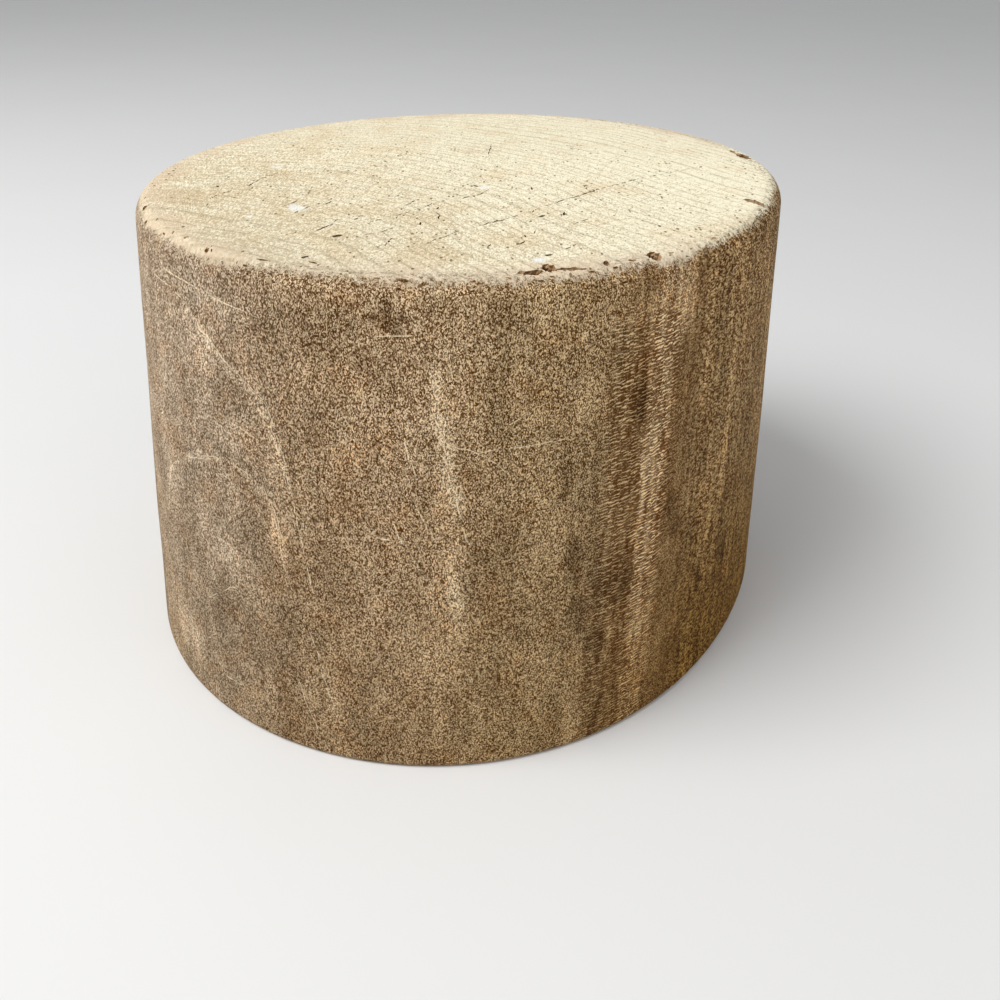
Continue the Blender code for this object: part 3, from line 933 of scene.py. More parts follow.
def end_grain(bench, at, colours):
    """Colour and relief of the end grain, with its rings, spokes, pores and dust"""
    across = crown_rings(bench, at)
    _, arc = pith_reach(bench, at.x, at.y, CROWN_PITH)
    share = rings(bench, across + RING_START)
    broken = bench.grain(bench.combine(arc, across, 3.0), (7, 1.3, 1), detail=3.0, roughness=0.6)
    line = bench.remap(share, 0.6, 0.94) * bench.remap(share, 1.0, 0.95) * bench.remap(broken, 0.38, 0.6)
    dots = bench.grain(bench.combine(arc, across, 8.0), (0.9, 0.5, 1), detail=1.0)
    dotted = bench.remap(share, 0.8, 0.92) * bench.remap(dots, 0.58, 0.7)
    spokes = bench.grain(bench.combine(arc, across, 0.0), (0.42, 3.2, 1), detail=2.0, roughness=0.6)
    aside = at.x * 0.87 + at.y * 0.5
    stroke = at.y * 0.87 - at.x * 0.5
    torn = bench.combine(aside, stroke, 0.0)
    fine = bench.grain(torn, (0.44, 0.95, 1), detail=3.0, roughness=0.65)
    crumbs, _ = bench.crumbs(torn, (0.40, 0.90, 5))
    clumps = bench.grain(at.spot, (2.6, 3.6, 9), detail=3.0, roughness=0.6)
    far = bench.remap(stroke, 5.0, 55.0)
    pores = open_pores(bench, at, torn)

    worn = (at.spot * (1 / CROWN_REACH[0], 1 / CROWN_REACH[1], 0.0)).length()
    flush = bench.remap(worn + at.mottle * 0.3, 1.0, 1.17) * (0.7 - at.streaky * 0.6)
    bright = 0.55 + at.x * 0.0022 + at.y * 0.0026
    warm = crown_patches(bench, at)
    middle = 0.625 - bright * 0.3 + warm * 0.03 + at.x * 0.0003
    grain = fine * 0.5 + spokes * 0.3 + crumbs * 0.13 + 0.035 + (clumps - 0.5) * 0.12
    soften = far * 0.13 + 0.11
    grain_share = bench.remap(grain, middle - soften, middle + soften)
    end = bench.blend(grain_share, colours.end_dull, colours.end_light)
    browned = bench.remap(at.mottle - bright * 0.28 + warm * 0.25, 0.30, 0.56, 0.0, 0.5)
    end = bench.blend(browned, end, colours.end_warm, kind="MULTIPLY")
    end = bench.blend(flush, end, colours.end_flush)
    end = bench.blend(line * 0.55, end, colours.end_line)
    end = bench.blend(dotted * 0.55, end, colours.pore)
    end = bench.blend(pores * (0.85 - far * 0.5), end, colours.pore)
    chalked = at.spot + at.warp * (0.6, 0.6, 0.0)
    for spot, size in CHALK_SPOTS:
        apart = (chalked - (*spot, CROWN_TOP)).length()
        end = bench.blend(bench.remap(apart, 0.3 * size, size, 0.8, 0.0), end, colours.chalk)
    relief = fine * 0.28 - line * 0.03 - pores * 0.16 + spokes * 0.16 - dotted * 0.1
    return end, relief, worn


def sole_grain(bench, at, end, colours):
    """The base: end grain sawn across, browned by the bench and ringed by the stand's flange"""
    sawn = bench.combine(at.x + at.y * 0.25, at.y, 9.0)
    kerf = bench.grain(sawn, (1.1, 60, 1), detail=2.0)
    out = (at.spot * (1.0, 1.0, 0.0)).length()
    polished = bench.remap(bench.math("ABSOLUTE", out - 31.0), 9.0, 15.0, 0.75, 0.0)
    sole = bench.blend(0.62, end, colours.warm_light, kind="MULTIPLY")
    sole = bench.blend(bench.remap(kerf, 0.42, 0.62, 0.0, 0.5), sole, colours.wall_dark)
    return bench.blend(polished * at.mottle, sole, colours.wall_dark)


def solid_timber(colours):
    """The timber as a solid: what any cut or worn face of the block shows"""
    tree = bpy.data.node_groups.new("solid_timber", "ShaderNodeTree")
    tree.interface.new_socket("Colour", in_out="OUTPUT", socket_type="NodeSocketColor")
    tree.interface.new_socket("Roughness", in_out="OUTPUT", socket_type="NodeSocketFloat")
    tree.interface.new_socket("Relief", in_out="OUTPUT", socket_type="NodeSocketFloat")
    bench = Bench(tree)
    at = Places(bench)
    ticks = side_ticks(bench, at)
    side, lightness = side_grain(bench, at, ticks, colours)
    end, relief_end, worn = end_grain(bench, at, colours)
    sole = sole_grain(bench, at, end, colours)

    # The crown's pale grain shows over the upper part of the worn rim, with a ragged border
    crumbly = bench.grain(at.spot, (1.1, 1.1, 1.6), detail=3.0, roughness=0.65)
    ragged = ticks * 3.0 + at.mottle * 1.4 + at.grit + (crumbly - 0.5) * 4.0 + 0.3
    lowered = at.soft * 1.3 + at.gold * bench.remap(at.z, 105.0, 110.0)
    over_rim = bench.remap(at.z + ragged + lowered, 115.35, 116.85)
    inside = bench.remap(worn + at.grit * 0.03, 0.985, 0.96)
    crown_share = bench.math("MAXIMUM", over_rim, inside)
    base_share = bench.remap(at.z - at.mottle * 0.8, 0.25, 0.05)
    surface = bench.blend(crown_share, side, end)
    surface = bench.blend(base_share, surface, sole)

    relief = ticks + crown_share * (relief_end - ticks)
    roughness = 0.72 + crown_share * 0.14 + lightness * 0.08
    bench.node("NodeGroupOutput", surface, roughness, relief)
    return tree


def new_finish(name):
    """A new material, as the bench to set it out on and its shader"""
    material = bpy.data.materials.new(name)
    material.use_nodes = True
    return material, Bench(material.node_tree), material.node_tree.nodes["Principled BSDF"]


def timber_material(name, group, tint=None, share=0.0, relief=1.0, ragged=False):
    """A finish of the solid timber, or one mixed towards another colour where the wood is opened"""
    _, bench, shader = new_finish(name)
    wood = bench.node("ShaderNodeGroup", node_tree=group)
    colour = wood.outputs["Colour"]
    if tint:
        speck = bench.grain(bench.place(), 0.8, detail=3.0, roughness=0.65)
        low, high, least = (0.38, 0.56, 0.20) if ragged else (0.3, 0.7, 0.82)
        colour = bench.blend(bench.remap(speck, low, high, least * share, share), colour, tint)
    bench.feed(shader.inputs["Base Color"], colour)
    bench.feed(shader.inputs["Roughness"], wood.outputs["Roughness"])
    shader.inputs["Specular IOR Level"].default_value = 0.06
    bench.bump(shader, bench.math("MULTIPLY", wood.outputs["Relief"], relief), 0.9)


def iron_material(colours):
    """Turned iron gone brown, with rust in patches and faint tool rings"""
    _, bench, shader = new_finish("turned_iron")
    place = bench.place()
    patches = bench.grain(place, 4.0, detail=4.0, roughness=0.6)
    pits = bench.grain(place, 0.5, detail=3.0, roughness=0.65)
    tool_rings = bench.grain(place, (50, 50, 0.31), detail=2.0)
    rusty = bench.remap(patches + pits * 0.3, 0.58, 0.76)
    colour = bench.blend(bench.remap(tool_rings, 0.35, 0.65, 0.0, 0.4), colours.iron, colours.tooled)
    colour = bench.blend(rusty, colour, colours.rust)
    bench.feed(shader.inputs["Base Color"], colour)
    bench.feed(shader.inputs["Metallic"], 0.85 - rusty * 0.7)
    bench.feed(shader.inputs["Roughness"], 0.4 + rusty * 0.38 + pits * 0.12)
    bench.bump(shader, pits * 0.05 + tool_rings * 0.05 + rusty * 0.04, 0.6)


# Building the block

class HATBLOCK_OT_mix_finishes(bpy.types.Operator):
    """Mixes the finishes of the timber and the iron"""
    bl_idname = "hatblock.mix_finishes"
    bl_label = "Mix finishes"

    def execute(self, context):
        colours = context.scene.hat_block_colours
        group = solid_timber(colours)
        timber_material("worn_timber", group)
        timber_material("scratched_timber", group, colours.dust, 1.0, ragged=True)
        timber_material("split_timber", group, colours.chip, 0.80, relief=1.6)
        timber_material("check_shade", group, colours.check_shade, 0.95)
        timber_material("socket_timber", group, colours.wall_dark, 0.70)
        iron_material(colours)
        return {"FINISHED"}


class HATBLOCK_OT_shape_billet(bpy.types.Operator):
    """Shapes the solid oval billet, smaller at the crown, with its worn edges"""
    bl_idname = "hatblock.shape_billet"
    bl_label = "Shape billet"

    def execute(self, context):
        sizes = context.scene.hat_block_sizes
        low, high = 2.5 * sizes.base_edge, sizes.height - 1.6 * sizes.crown_edge
        bands = round((high - low) / WALL_BAND)
        heights = [0.0, *np.linspace(low, high, bands + 1), sizes.height]
        bpy.ops.mesh.primitive_circle_add(vertices=OUTLINE_POINTS, radius=sizes.base_width / 2)
        billet = context.object
        billet.name = "crown_billet"
        edit_all(billet)
        for lower, upper in zip(heights, heights[1:]):
            bpy.ops.mesh.extrude_region_move(TRANSFORM_OT_translate={"value": (0, 0, upper - lower)})
        leave_edit()
        self.fit_rings(billet)
        edit_all(billet)
        for height, radius, segments in ((0.0, sizes.base_edge, 3), (sizes.height, sizes.crown_edge, 10)):
            select_edges_at(billet, height)
            bpy.ops.mesh.edge_face_add()
            select_edges_at(billet, height)
            bpy.ops.mesh.bevel(offset=radius, segments=segments, affect="EDGES")
        bpy.ops.mesh.select_all(action="SELECT")
        bpy.ops.mesh.normals_make_consistent(inside=False)
        leave_edit()
        billet.data.materials.append(finish("worn_timber"))
        self.rub_wall(billet)
        return {"FINISHED"}

    def fit_rings(self, billet):
        """Moves each ring of points out to the oval at its height"""
        height = bpy.context.scene.hat_block_sizes.height
        shifts = {}
        for spot in billet.data.vertices:
            angle = math.atan2(spot.co.y, spot.co.x)
            level = round(spot.co.z, 6)
            length, width = section(level / height)
            if level not in shifts:
                shifts[level] = outline_shift(length, width)
            radius = float(oval_radius(angle, length, width))
            spot.co.x = radius * math.cos(angle) - shifts[level][0]
            spot.co.y = radius * math.sin(angle) - shifts[level][1]

    def rub_wall(self, billet):
        """Slow hollows of a few tenths of a millimetre that shaping and handling left"""
        height = bpy.context.scene.hat_block_sizes.height
        group = billet.vertex_groups.new(name="wall")
        for spot in billet.data.vertices:
            edge = min(spot.co.z - HOLLOW_MARGINS[0], height - HOLLOW_MARGINS[1] - spot.co.z)
            group.add([spot.index], min(1.0, max(0.0, edge / HOLLOW_EASE)), "REPLACE")
        hollows = bpy.data.textures.new("hollows", "CLOUDS")
        hollows.noise_scale = HOLLOW_SIZE
        hollows.noise_depth = 1
        rub = billet.modifiers.new("rub", "DISPLACE")
        rub.texture = hollows
        rub.texture_coords = "LOCAL"
        rub.vertex_group = "wall"
        rub.strength = HOLLOW_DEPTH
        rub.mid_level = 1.0
        apply_modifier(billet, rub)
        billet.vertex_groups.clear()


class HATBLOCK_OT_raise_rings(bpy.types.Operator):
    """Wears the crown down between its growth rings"""
    bl_idname = "hatblock.raise_rings"
    bl_label = "Raise rings"

    along_steps: IntProperty(name="Steps along the rings", default=56, min=8)
    across_steps: IntProperty(name="Steps across the rings", default=520, min=50)

    def execute(self, context):
        sizes = context.scene.hat_block_sizes
        bpy.ops.mesh.primitive_grid_add(
            x_subdivisions=self.across_steps, y_subdivisions=self.along_steps, size=1.0
        )
        plane = context.object
        for spot in plane.data.vertices:
            across = SHEET_MIDDLE + SHEET_LENGTH * spot.co.x
            spot.co = self.worn_point(SHEET_WIDTH * spot.co.y, across, sizes)
        edit_all(plane, "FACE")
        bpy.ops.mesh.extrude_region_move(TRANSFORM_OT_translate={"value": (0, 0, SHEET_HEIGHT)})
        bpy.ops.transform.resize(value=(1, 1, 0), center_override=(0, 0, sizes.height + SHEET_HEIGHT))
        bpy.ops.mesh.dissolve_limited(angle_limit=math.radians(1))
        bpy.ops.mesh.select_all(action="SELECT")
        bpy.ops.mesh.normals_make_consistent(inside=False)
        leave_edit()
        plane.data.materials.append(finish("worn_timber"))
        boolean(block(), plane)
        return {"FINISHED"}

    def worn_point(self, x, across, sizes):
        """A point of the worn crown, from its place along X and the way across the rings, in mm"""
        y = ring_y(x, across)
        share = float(ring_phase(across + RING_START)) % 1.0
        ridge = min(1.0, max(0.0, (share - 0.45) / 0.4)) * min(1.0, (1.0 - share) / 0.12)
        patchy = 0.55 + 0.45 * noise.noise(Vector((x / 16, y / 16, 4.0)))
        slow = 0.5 + 0.5 * noise.noise(Vector((x / 38, y / 38, 1.0)))
        rough = 0.5 + 0.5 * noise.noise(Vector((x / 2.1, y / 2.1, 7.0)))
        drop = sizes.ring_relief * (1 - ridge * patchy) + SLOW_WEAR * slow + FINE_WEAR * rough
        return Vector((x * MM, y * MM, sizes.height - drop))


class HATBLOCK_OT_bore_socket(bpy.types.Operator):
    """Bores the stepped socket for the bush and the spindle into the base"""
    bl_idname = "hatblock.bore_socket"
    bl_label = "Bore socket"

    steps: IntProperty(name="Facets", default=96, min=24)

    def execute(self, context):
        sizes = context.scene.hat_block_sizes
        wide = sizes.bush_outer + sizes.fit_gap
        flare = wide + SOCKET_MOUTH
        shoulder = BUSH_HIGH.z + sizes.fit_gap
        profile = (
            (flare, -2 * SOCKET_MOUTH), (flare, 0.0), (wide, SOCKET_MOUTH), (wide, shoulder),
            (sizes.bush_bore, shoulder), (sizes.bush_bore, sizes.socket_depth),
        )
        auger = turned("auger", profile, self.steps)
        auger.data.materials.append(finish("socket_timber"))
        boolean(block(), auger)
        return {"FINISHED"}


class HATBLOCK_OT_open_checks(bpy.types.Operator):
    """Opens the drying checks and small hollows in the end grain of the crown and base"""
    bl_idname = "hatblock.open_checks"
    bl_label = "Open checks"

    seed: IntProperty(name="Seed", default=11)

    def execute(self, context):
        top = context.scene.hat_block_sizes.height
        chance = random.Random(self.seed)
        slit = slit_pattern()
        slits = []
        for runs, kind in ((CROWN_CHECKS, CHECK_SLITS), (RING_SEAMS, SEAM_SLITS)):
            for run in runs:
                spots = [Vector(spot) for spot in run]
                slits += self.slits_along(slit, spots, top - SLIT_SINK, kind, chance)
        for run in self.base_runs(chance):
            slits += self.slits_along(slit, run, SLIT_SINK, CHECK_SLITS, chance, -1.3)
        bpy.data.objects.remove(slit, do_unlink=True)
        lumps = [lump_pattern(seed, 2) for seed in (3, 4, 5)]
        for (x, y), (length, width, depth), degrees in CROWN_PITS:
            size = Vector((length, width, 2 * depth)) * MM
            place = Vector((x * MM, y * MM, top))
            slits.append(place_copy(chance.choice(lumps), size, place, math.radians(degrees)))
        for lump in lumps:
            bpy.data.objects.remove(lump, do_unlink=True)
        checks = join(slits, "checks")
        checks.data.materials.append(finish("check_shade"))
        boolean(block(), checks, crossing=True)
        return {"FINISHED"}

    def slits_along(self, slit, run, height, kind, chance, depth_share=1.0):
        """Short slits with gaps between them, along a run of points in mm"""
        lengths, widths, gaps = kind
        made = []
        for start, end in zip(run, run[1:]):
            span = (end - start).length
            turn = math.atan2(end.y - start.y, end.x - start.x)
            along = chance.uniform(0.0, 0.6)
            while along < span:
                length = min(chance.uniform(*lengths), 1.2 * span)
                middle = start.lerp(end, min(1.0, (along + length / 2) / span))
                side = chance.gauss(0, 0.16)
                place = Vector((middle.x - side * math.sin(turn), middle.y + side * math.cos(turn))) * MM
                width = chance.uniform(*widths)
                depth = chance.uniform(0.7, 1.5) * depth_share
                size = Vector((length, width, depth)) * MM
                bend = turn + chance.gauss(0, 0.13)
                made.append(place_copy(slit, size, Vector((*place, height)), bend))
                along += length + chance.choice(gaps)
        return made

    def base_runs(self, chance):
        """Checks that spread from the socket over the base"""
        runs = []
        for degrees in (14, 62, 101, 158, 207, 263, 318):
            turn = math.radians(degrees)
            start, length = chance.uniform(20, 30), chance.uniform(14, 34)
            out = Vector((math.cos(turn), math.sin(turn)))
            bow = Vector((-math.sin(turn), math.cos(turn))) * chance.uniform(-3, 3)
            runs.append([out * start, out * (start + length / 2) + bow, out * (start + length)])
        return runs


class HATBLOCK_OT_chip_edges(bpy.types.Operator):
    """Breaks splinters and crumbs from the rim of the crown and the edge of the base"""
    bl_idname = "hatblock.chip_edges"
    bl_label = "Chip edges"

    seed: IntProperty(name="Seed", default=5)
    rim_crumbs: IntProperty(name="Crumbs on the rim", default=140, min=0)
    base_crumbs: IntProperty(name="Crumbs on the base", default=60, min=0)

    def execute(self, context):
        top = context.scene.hat_block_sizes.height
        chance = random.Random(self.seed)
        ragged = [lump_pattern(seed, 3) for seed in (21, 22, 23, 24)]
        small = [lump_pattern(seed, 1) for seed in (31, 32, 33)]
        chips = []
        for (x, y, drop), (length, width, depth), degrees in RIM_CHIPS:
            size = Vector((length, width, 2 * depth)) * MM
            place = Vector((x, y, top / MM - drop)) * MM
            chips.append(place_copy(chance.choice(ragged), size, place, math.radians(degrees)))
        chips += [self.rim_crumb(small, chance, top) for _ in range(self.rim_crumbs)]
        chips += [self.base_crumb(small, chance) for _ in range(self.base_crumbs)]
        for lump in ragged + small:
            bpy.data.objects.remove(lump, do_unlink=True)
        broken = join(chips, "chips")
        broken.data.materials.append(finish("split_timber"))
        boolean(block(), broken, crossing=True)
        return {"FINISHED"}

    def rim_crumb(self, patterns, chance, top):
        """A crumb on the worn rim, most of them on the side that is knocked most"""
        front = chance.random() < 0.62
        angle = math.radians(chance.uniform(-112, -22) if front else chance.uniform(-22, 248))
        edge = wall_point(angle, top)
        inward = chance.uniform(-0.2, 3.6) * MM
        drop = RIM_ROUND - math.sqrt(max(0.0, RIM_ROUND ** 2 - max(0.0, RIM_ROUND - inward) ** 2))
        place = edge - Vector((math.cos(angle), math.sin(angle), 0)) * inward
        place.z = top - drop
        length = chance.uniform(0.5, 1.9)
        size = Vector((length, length * chance.uniform(0.3, 0.6), chance.uniform(0.24, 0.6))) * MM
        return place_copy(chance.choice(patterns), size, place, angle + math.pi / 2 + chance.gauss(0, 0.5))

    def base_crumb(self, patterns, chance):
        """A nick in the edge of the base"""
        angle = math.radians(chance.uniform(0, 360))
        place = wall_point(angle, 0.0)
        place.z = chance.uniform(0.0, 0.5) * MM
        size = Vector([chance.uniform(*ends) for ends in ((0.8, 4.5), (0.5, 1.5), (0.5, 1.4))]) * MM
        return place_copy(chance.choice(patterns), size, place, angle + math.pi / 2)


class HATBLOCK_OT_scratch_wall(bpy.types.Operator):
    """Scores the wall with the scratches and rubbed arcs of use"""
    bl_idname = "hatblock.scratch_wall"
    bl_label = "Scratch wall"

    seed: IntProperty(name="Seed", default=8)
    far_scratches: IntProperty(name="Scratches on the far side", default=16, min=0)

    def execute(self, context):
        chance = random.Random(self.seed)
        marks = list(WALL_SCRATCHES) + [self.far_scratch(chance) for _ in range(self.far_scratches)]
        grooves = []
        for width, depth, run in marks:
            for stroke in self.strokes(self.smooth_run(run), chance):
                share = chance.uniform(0.55, 1.0)
                grooves.append(self.groove(share * width, share * depth, stroke, chance))
        scored = join(grooves, "grooves")
        scored.data.materials.clear()
        scored.data.materials.append(finish("scratched_timber"))
        boolean(block(), scored, crossing=True)
        return {"FINISHED"}

    def far_scratch(self, chance):
        """A scratch somewhere on the side that the stage doesn't show first"""
        angle, height = chance.uniform(20, 236), chance.uniform(12, 104)
        turn, length = chance.uniform(-1.8, 1.8), chance.uniform(6, 26)
        bow = chance.uniform(-2.5, 2.5)
        run = []
        for step in range(4):
            share = step / 3
            bent = bow * math.sin(math.pi * share)
            run.append((
                angle + (length * share * math.cos(turn) + bent) / MM_PER_DEGREE,
                min(108.0, max(4.0, height + length * share * math.sin(turn))),
            ))
        return chance.uniform(0.26, 0.48), chance.uniform(0.07, 0.13), tuple(run)

    def strokes(self, spots, chance):
        """Breaks a scratch into strokes, each a little to one side of the last"""
        made = []
        start = 0
        while start < len(spots) - 1:
            count = chance.choice((3, 4, 4, 5, 6))
            stroke = spots[start:start + count]
            if len(stroke) < 2:
                break
            heading = (stroke[-1] - stroke[0]).normalized()
            side = chance.gauss(0, 0.16) * Vector((-heading.y / MM_PER_DEGREE, heading.x))
            made.append([spot + side for spot in stroke])
            start += count - chance.choice((-1, 0, 1, 1))
        return made

    def groove(self, width, depth, spots, chance):
        """A thin rod that lies along the wall, sunk to the depth of the scratch"""
        radius = (width * width / 4 + depth * depth) / (2 * depth) * MM
        lift = radius - depth * MM
        path = bpy.data.curves.new("groove", "CURVE")
        path.dimensions = "3D"
        path.bevel_depth = radius
        path.bevel_resolution = 1
        path.use_fill_caps = True
        line = path.splines.new("POLY")
        line.points.add(len(spots) - 1)
        for count, (degrees, height) in enumerate(spots):
            turn = math.radians(degrees + chance.gauss(0, 0.05))
            aim = wall_point(turn, (height + chance.gauss(0, 0.07)) * MM)
            found, place, normal, _ = block().closest_point_on_mesh(aim)
            if not found:
                raise RuntimeError("a scratch runs off the wall")
            ends = min(1.0, 0.80 + 0.1 * min(count, len(spots) - 1 - count))
            line.points[count].co = (*(place + normal * lift), 1.0)
            line.points[count].radius = ends * chance.uniform(0.84, 1.05)
        rod = bpy.data.objects.new("groove", path)
        bpy.context.scene.collection.objects.link(rod)
        select_only(rod)
        bpy.ops.object.convert(target="MESH")
        rod = bpy.context.object
        edit_all(rod)
        bpy.ops.mesh.remove_doubles(threshold=0.000001)
        bpy.ops.mesh.normals_make_consistent(inside=False)
        leave_edit()
        return rod

    def smooth_run(self, run):
        """Points a step apart on a smooth line through the marks of a run"""
        marks = [Vector(mark) for mark in run]
        marks = [2 * marks[0] - marks[1], *marks, 2 * marks[-1] - marks[-2]]
        spots = []
        for before, start, end, after in zip(marks, marks[1:], marks[2:], marks[3:]):
            span = math.hypot((end.x - start.x) * MM_PER_DEGREE, end.y - start.y)
            steps = max(1, round(span / SCRATCH_STEP))
            for step in range(steps):
                t = step / steps
                spots.append(0.5 * (2 * start + (end - before) * t
                                    + (2 * before - 5 * start + 4 * end - after) * t ** 2
                                    + (3 * start - before - 3 * end + after) * t ** 3))
        return [*spots, marks[-2]]


class HATBLOCK_OT_finish_block(bpy.types.Operator):
    """Smooths the finished block and stands it in the place of its solid"""
    bl_idname = "hatblock.finish_block"
    bl_label = "Finish block"

    def execute(self, context):
        billet = block()
        select_only(billet)
        bpy.ops.object.shade_smooth_by_angle(angle=math.radians(32))
        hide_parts("crown_block")
        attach(billet, "root")
        return {"FINISHED"}


class HATBLOCK_OT_turn_bush(bpy.types.Operator):
    """Turns the iron bush that lines the socket, and punches the marks that hold it"""
    bl_idname = "hatblock.turn_bush"
    bl_label = "Turn bush"

    steps: IntProperty(name="Facets", default=96, min=24)

    def execute(self, context):
        sizes = context.scene.hat_block_sizes
        inner, outer = sizes.bush_bore, sizes.bush_outer
        low, high = BUSH_LOW.z, BUSH_HIGH.z
        corners = (
            (outer, high - 0.0006), (outer, low + 0.0006), (outer - 0.0002, low + 0.00018),
            (outer - 0.0006, low), (inner + 0.0011, low), (inner + 0.0005, low + 0.00025),
            (inner + 0.0001, low + 0.0008), (inner, low + 0.0013), (inner, high), (outer - 0.0006, high),
        )
        bush = turned("turned_bush", (*corners, corners[0]), self.steps, hollow=True)
        bush.data.materials.append(finish("turned_iron"))
        self.punch(bush, (inner + outer) / 2, low)
        select_only(bush)
        bpy.ops.object.shade_smooth_by_angle(angle=math.radians(32))
        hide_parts("spindle_bush")
        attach(bush, "root")
        return {"FINISHED"}

    def punch(self, bush, radius, low):
        """Three dents of a centre punch in the face of the bush"""
        dents = []
        for degrees in (25, 148, 262):
            turn = math.radians(degrees)
            bpy.ops.mesh.primitive_cone_add(
                vertices=16, radius1=0.0008, radius2=0.0, depth=0.0010,
                location=(radius * math.cos(turn), radius * math.sin(turn), low + 0.00028),
            )
            dents.append(bpy.context.object)
            bpy.ops.object.transform_apply(location=True, rotation=True, scale=True)
        marks = join(dents, "dents")
        marks.data.materials.append(finish("turned_iron"))
        boolean(bush, marks)


# Stage

class HATBLOCK_OT_set_stage(bpy.types.Operator):
    """Lays the pale floor and sets the lamps, the surroundings and the camera"""
    bl_idname = "hatblock.set_stage"
    bl_label = "Set stage"

    def execute(self, context):
        stage = context.scene.hat_block_stage
        self.lay_floor(stage)
        self.light_surroundings(context, stage)
        self.hang_lamp("key_lamp", stage, (-62.0, 52.0), 1.25, 0.75, stage.key_power)
        self.hang_lamp("fill_lamp", stage, (58.0, 34.0), 1.5, 1.2, stage.fill_power)
        self.place_camera(context, stage)
        context.scene.view_settings.view_transform = "Standard"
        return {"FINISHED"}

    def lay_floor(self, stage):
        bpy.ops.mesh.primitive_circle_add(vertices=96, radius=9.0, fill_type="NGON", location=(0, 0, 0))
        floor = bpy.context.object
        floor.name = "floor"
        material, bench, shader = new_finish("pale_floor")
        cloud = bench.grain(bench.place(), 110.0, detail=3.0)
        darker = tuple(0.97 * part for part in stage.floor)
        bench.feed(shader.inputs["Base Color"], bench.blend(cloud, stage.floor, darker))
        shader.inputs["Roughness"].default_value = 0.85
        shader.inputs["Specular IOR Level"].default_value = 0.2
        floor.data.materials.append(material)

    def light_surroundings(self, context, stage):
        """A pale sky that lights softly, and shows at its own colour to the camera and in gloss"""
        world = bpy.data.worlds.new("surroundings")
        world.use_nodes = True
        context.scene.world = world
        bench = Bench(world.node_tree)
        light = world.node_tree.nodes["Background"]
        light.inputs["Color"].default_value = (0.97, 0.98, 1.0, 1.0)
        light.inputs["Strength"].default_value = stage.sky
        shown = bench.node("ShaderNodeBackground", (*stage.floor, 1.0), 1.0)
        path = bench.node("ShaderNodeLightPath")
        seen = bench.math("MAXIMUM", path.outputs["Is Camera Ray"], path.outputs["Is Glossy Ray"])
        seen = bench.math("MAXIMUM", seen, path.outputs["Is Transmission Ray"])
        mixed = bench.node("ShaderNodeMixShader", seen, light.outputs[0], shown.outputs[0])
        bench.feed(world.node_tree.nodes["World Output"].inputs["Surface"], mixed.outputs[0])

    def hang_lamp(self, name, stage, bearing, distance, size, power):
        """A square lamp aimed at the block; the bearing is degrees right of the view and up"""
        side, rise = (math.radians(part) for part in bearing)
        heading = stage.camera_heading - math.pi / 2 + side
        aim = Vector((0, 0, 0.06))
        level = math.cos(rise)
        toward = Vector((math.cos(heading) * level, math.sin(heading) * level, math.sin(rise)))
        turn = toward.to_track_quat("Z", "Y").to_euler()
        bpy.ops.object.light_add(type="AREA", location=aim + toward * distance, rotation=turn)
        lamp = bpy.context.object
        lamp.name = name
        lamp.data.shape = "SQUARE"
        lamp.data.size = size
        lamp.data.energy = power

    def place_camera(self, context, stage):
        turn = (
            Matrix.Rotation(stage.camera_heading, 4, "Z")
            @ Matrix.Rotation(stage.camera_tilt, 4, "X")
            @ Matrix.Rotation(stage.camera_roll, 4, "Z")
        )
        bpy.ops.object.camera_add(location=stage.camera_place, rotation=turn.to_euler())
        camera = context.object
        camera.data.sensor_fit = "HORIZONTAL"
        camera.data.sensor_width = 36.0
        camera.data.lens = stage.lens
        camera.data.clip_start = 0.01
        camera.data.clip_end = 60.0
        context.scene.camera = camera


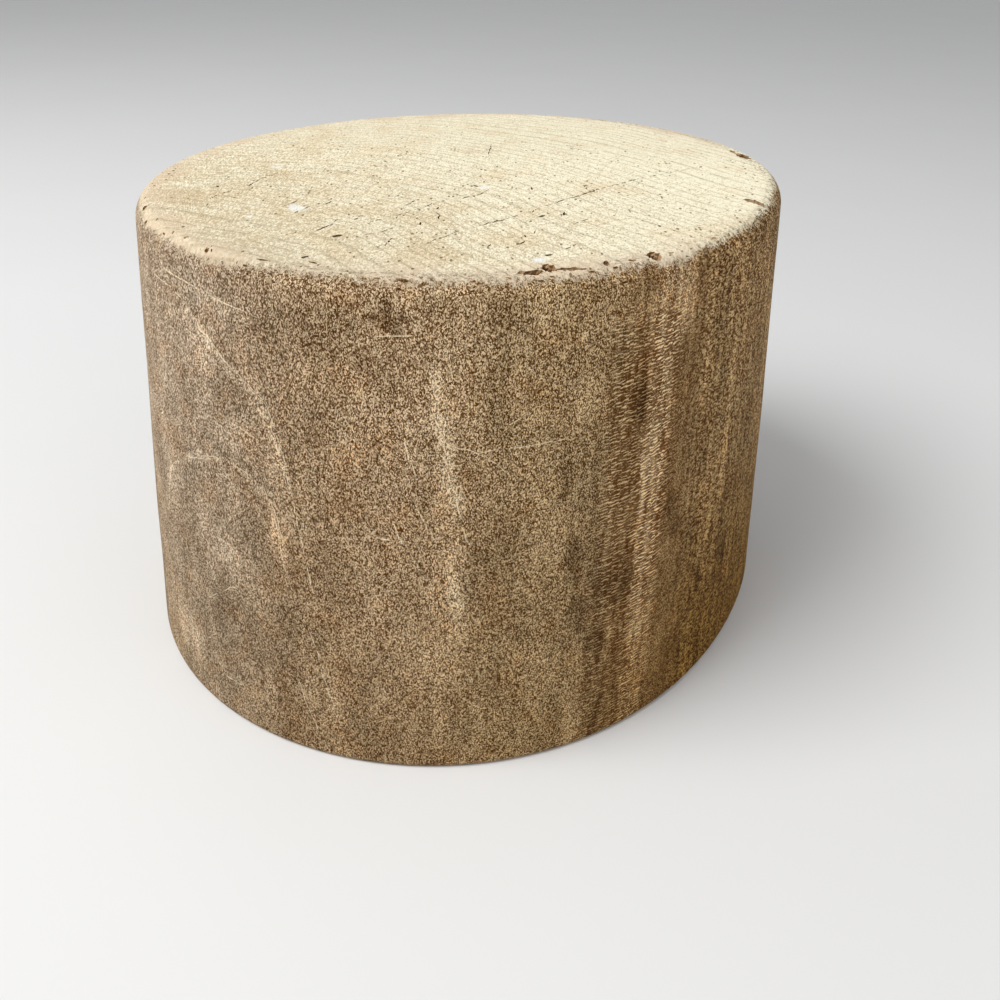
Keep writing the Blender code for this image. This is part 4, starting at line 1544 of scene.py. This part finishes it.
OPERATORS = (
    HATBLOCK_OT_mix_finishes,
    HATBLOCK_OT_shape_billet,
    HATBLOCK_OT_raise_rings,
    HATBLOCK_OT_bore_socket,
    HATBLOCK_OT_chip_edges,
    HATBLOCK_OT_open_checks,
    HATBLOCK_OT_scratch_wall,
    HATBLOCK_OT_finish_block,
    HATBLOCK_OT_turn_bush,
    HATBLOCK_OT_set_stage,
)


class HATBLOCK_PT_panel(bpy.types.Panel):
    """Sizes, colours and steps of the hat block"""
    bl_idname = "HATBLOCK_PT_panel"
    bl_label = "Hat block"
    bl_space_type = "VIEW_3D"
    bl_region_type = "UI"
    bl_category = "Hat block"

    def draw(self, context):
        for label, group in (
            ("Sizes", context.scene.hat_block_sizes),
            ("Colours", context.scene.hat_block_colours),
            ("Stage", context.scene.hat_block_stage),
        ):
            box = self.layout.box()
            box.label(text=label)
            for name in group.__annotations__:
                box.prop(group, name)
        column = self.layout.column(align=True)
        for operator in OPERATORS:
            column.operator(operator.bl_idname)


CLASSES = (HatBlockSizes, HatBlockColours, HatBlockStage, *OPERATORS, HATBLOCK_PT_panel)


def register():
    for made in CLASSES:
        bpy.utils.register_class(made)
    bpy.types.Scene.hat_block_sizes = PointerProperty(type=HatBlockSizes)
    bpy.types.Scene.hat_block_colours = PointerProperty(type=HatBlockColours)
    bpy.types.Scene.hat_block_stage = PointerProperty(type=HatBlockStage)


def unregister():
    del bpy.types.Scene.hat_block_stage
    del bpy.types.Scene.hat_block_colours
    del bpy.types.Scene.hat_block_sizes
    for made in reversed(CLASSES):
        bpy.utils.unregister_class(made)


def main():
    register()
    bpy.ops.hatblock.mix_finishes()
    bpy.ops.hatblock.shape_billet()
    bpy.ops.hatblock.raise_rings()
    bpy.ops.hatblock.bore_socket()
    bpy.ops.hatblock.chip_edges()
    bpy.ops.hatblock.open_checks()
    bpy.ops.hatblock.scratch_wall()
    bpy.ops.hatblock.finish_block()
    bpy.ops.hatblock.turn_bush()
    bpy.ops.hatblock.set_stage()


if __name__ == "__main__":
    main()
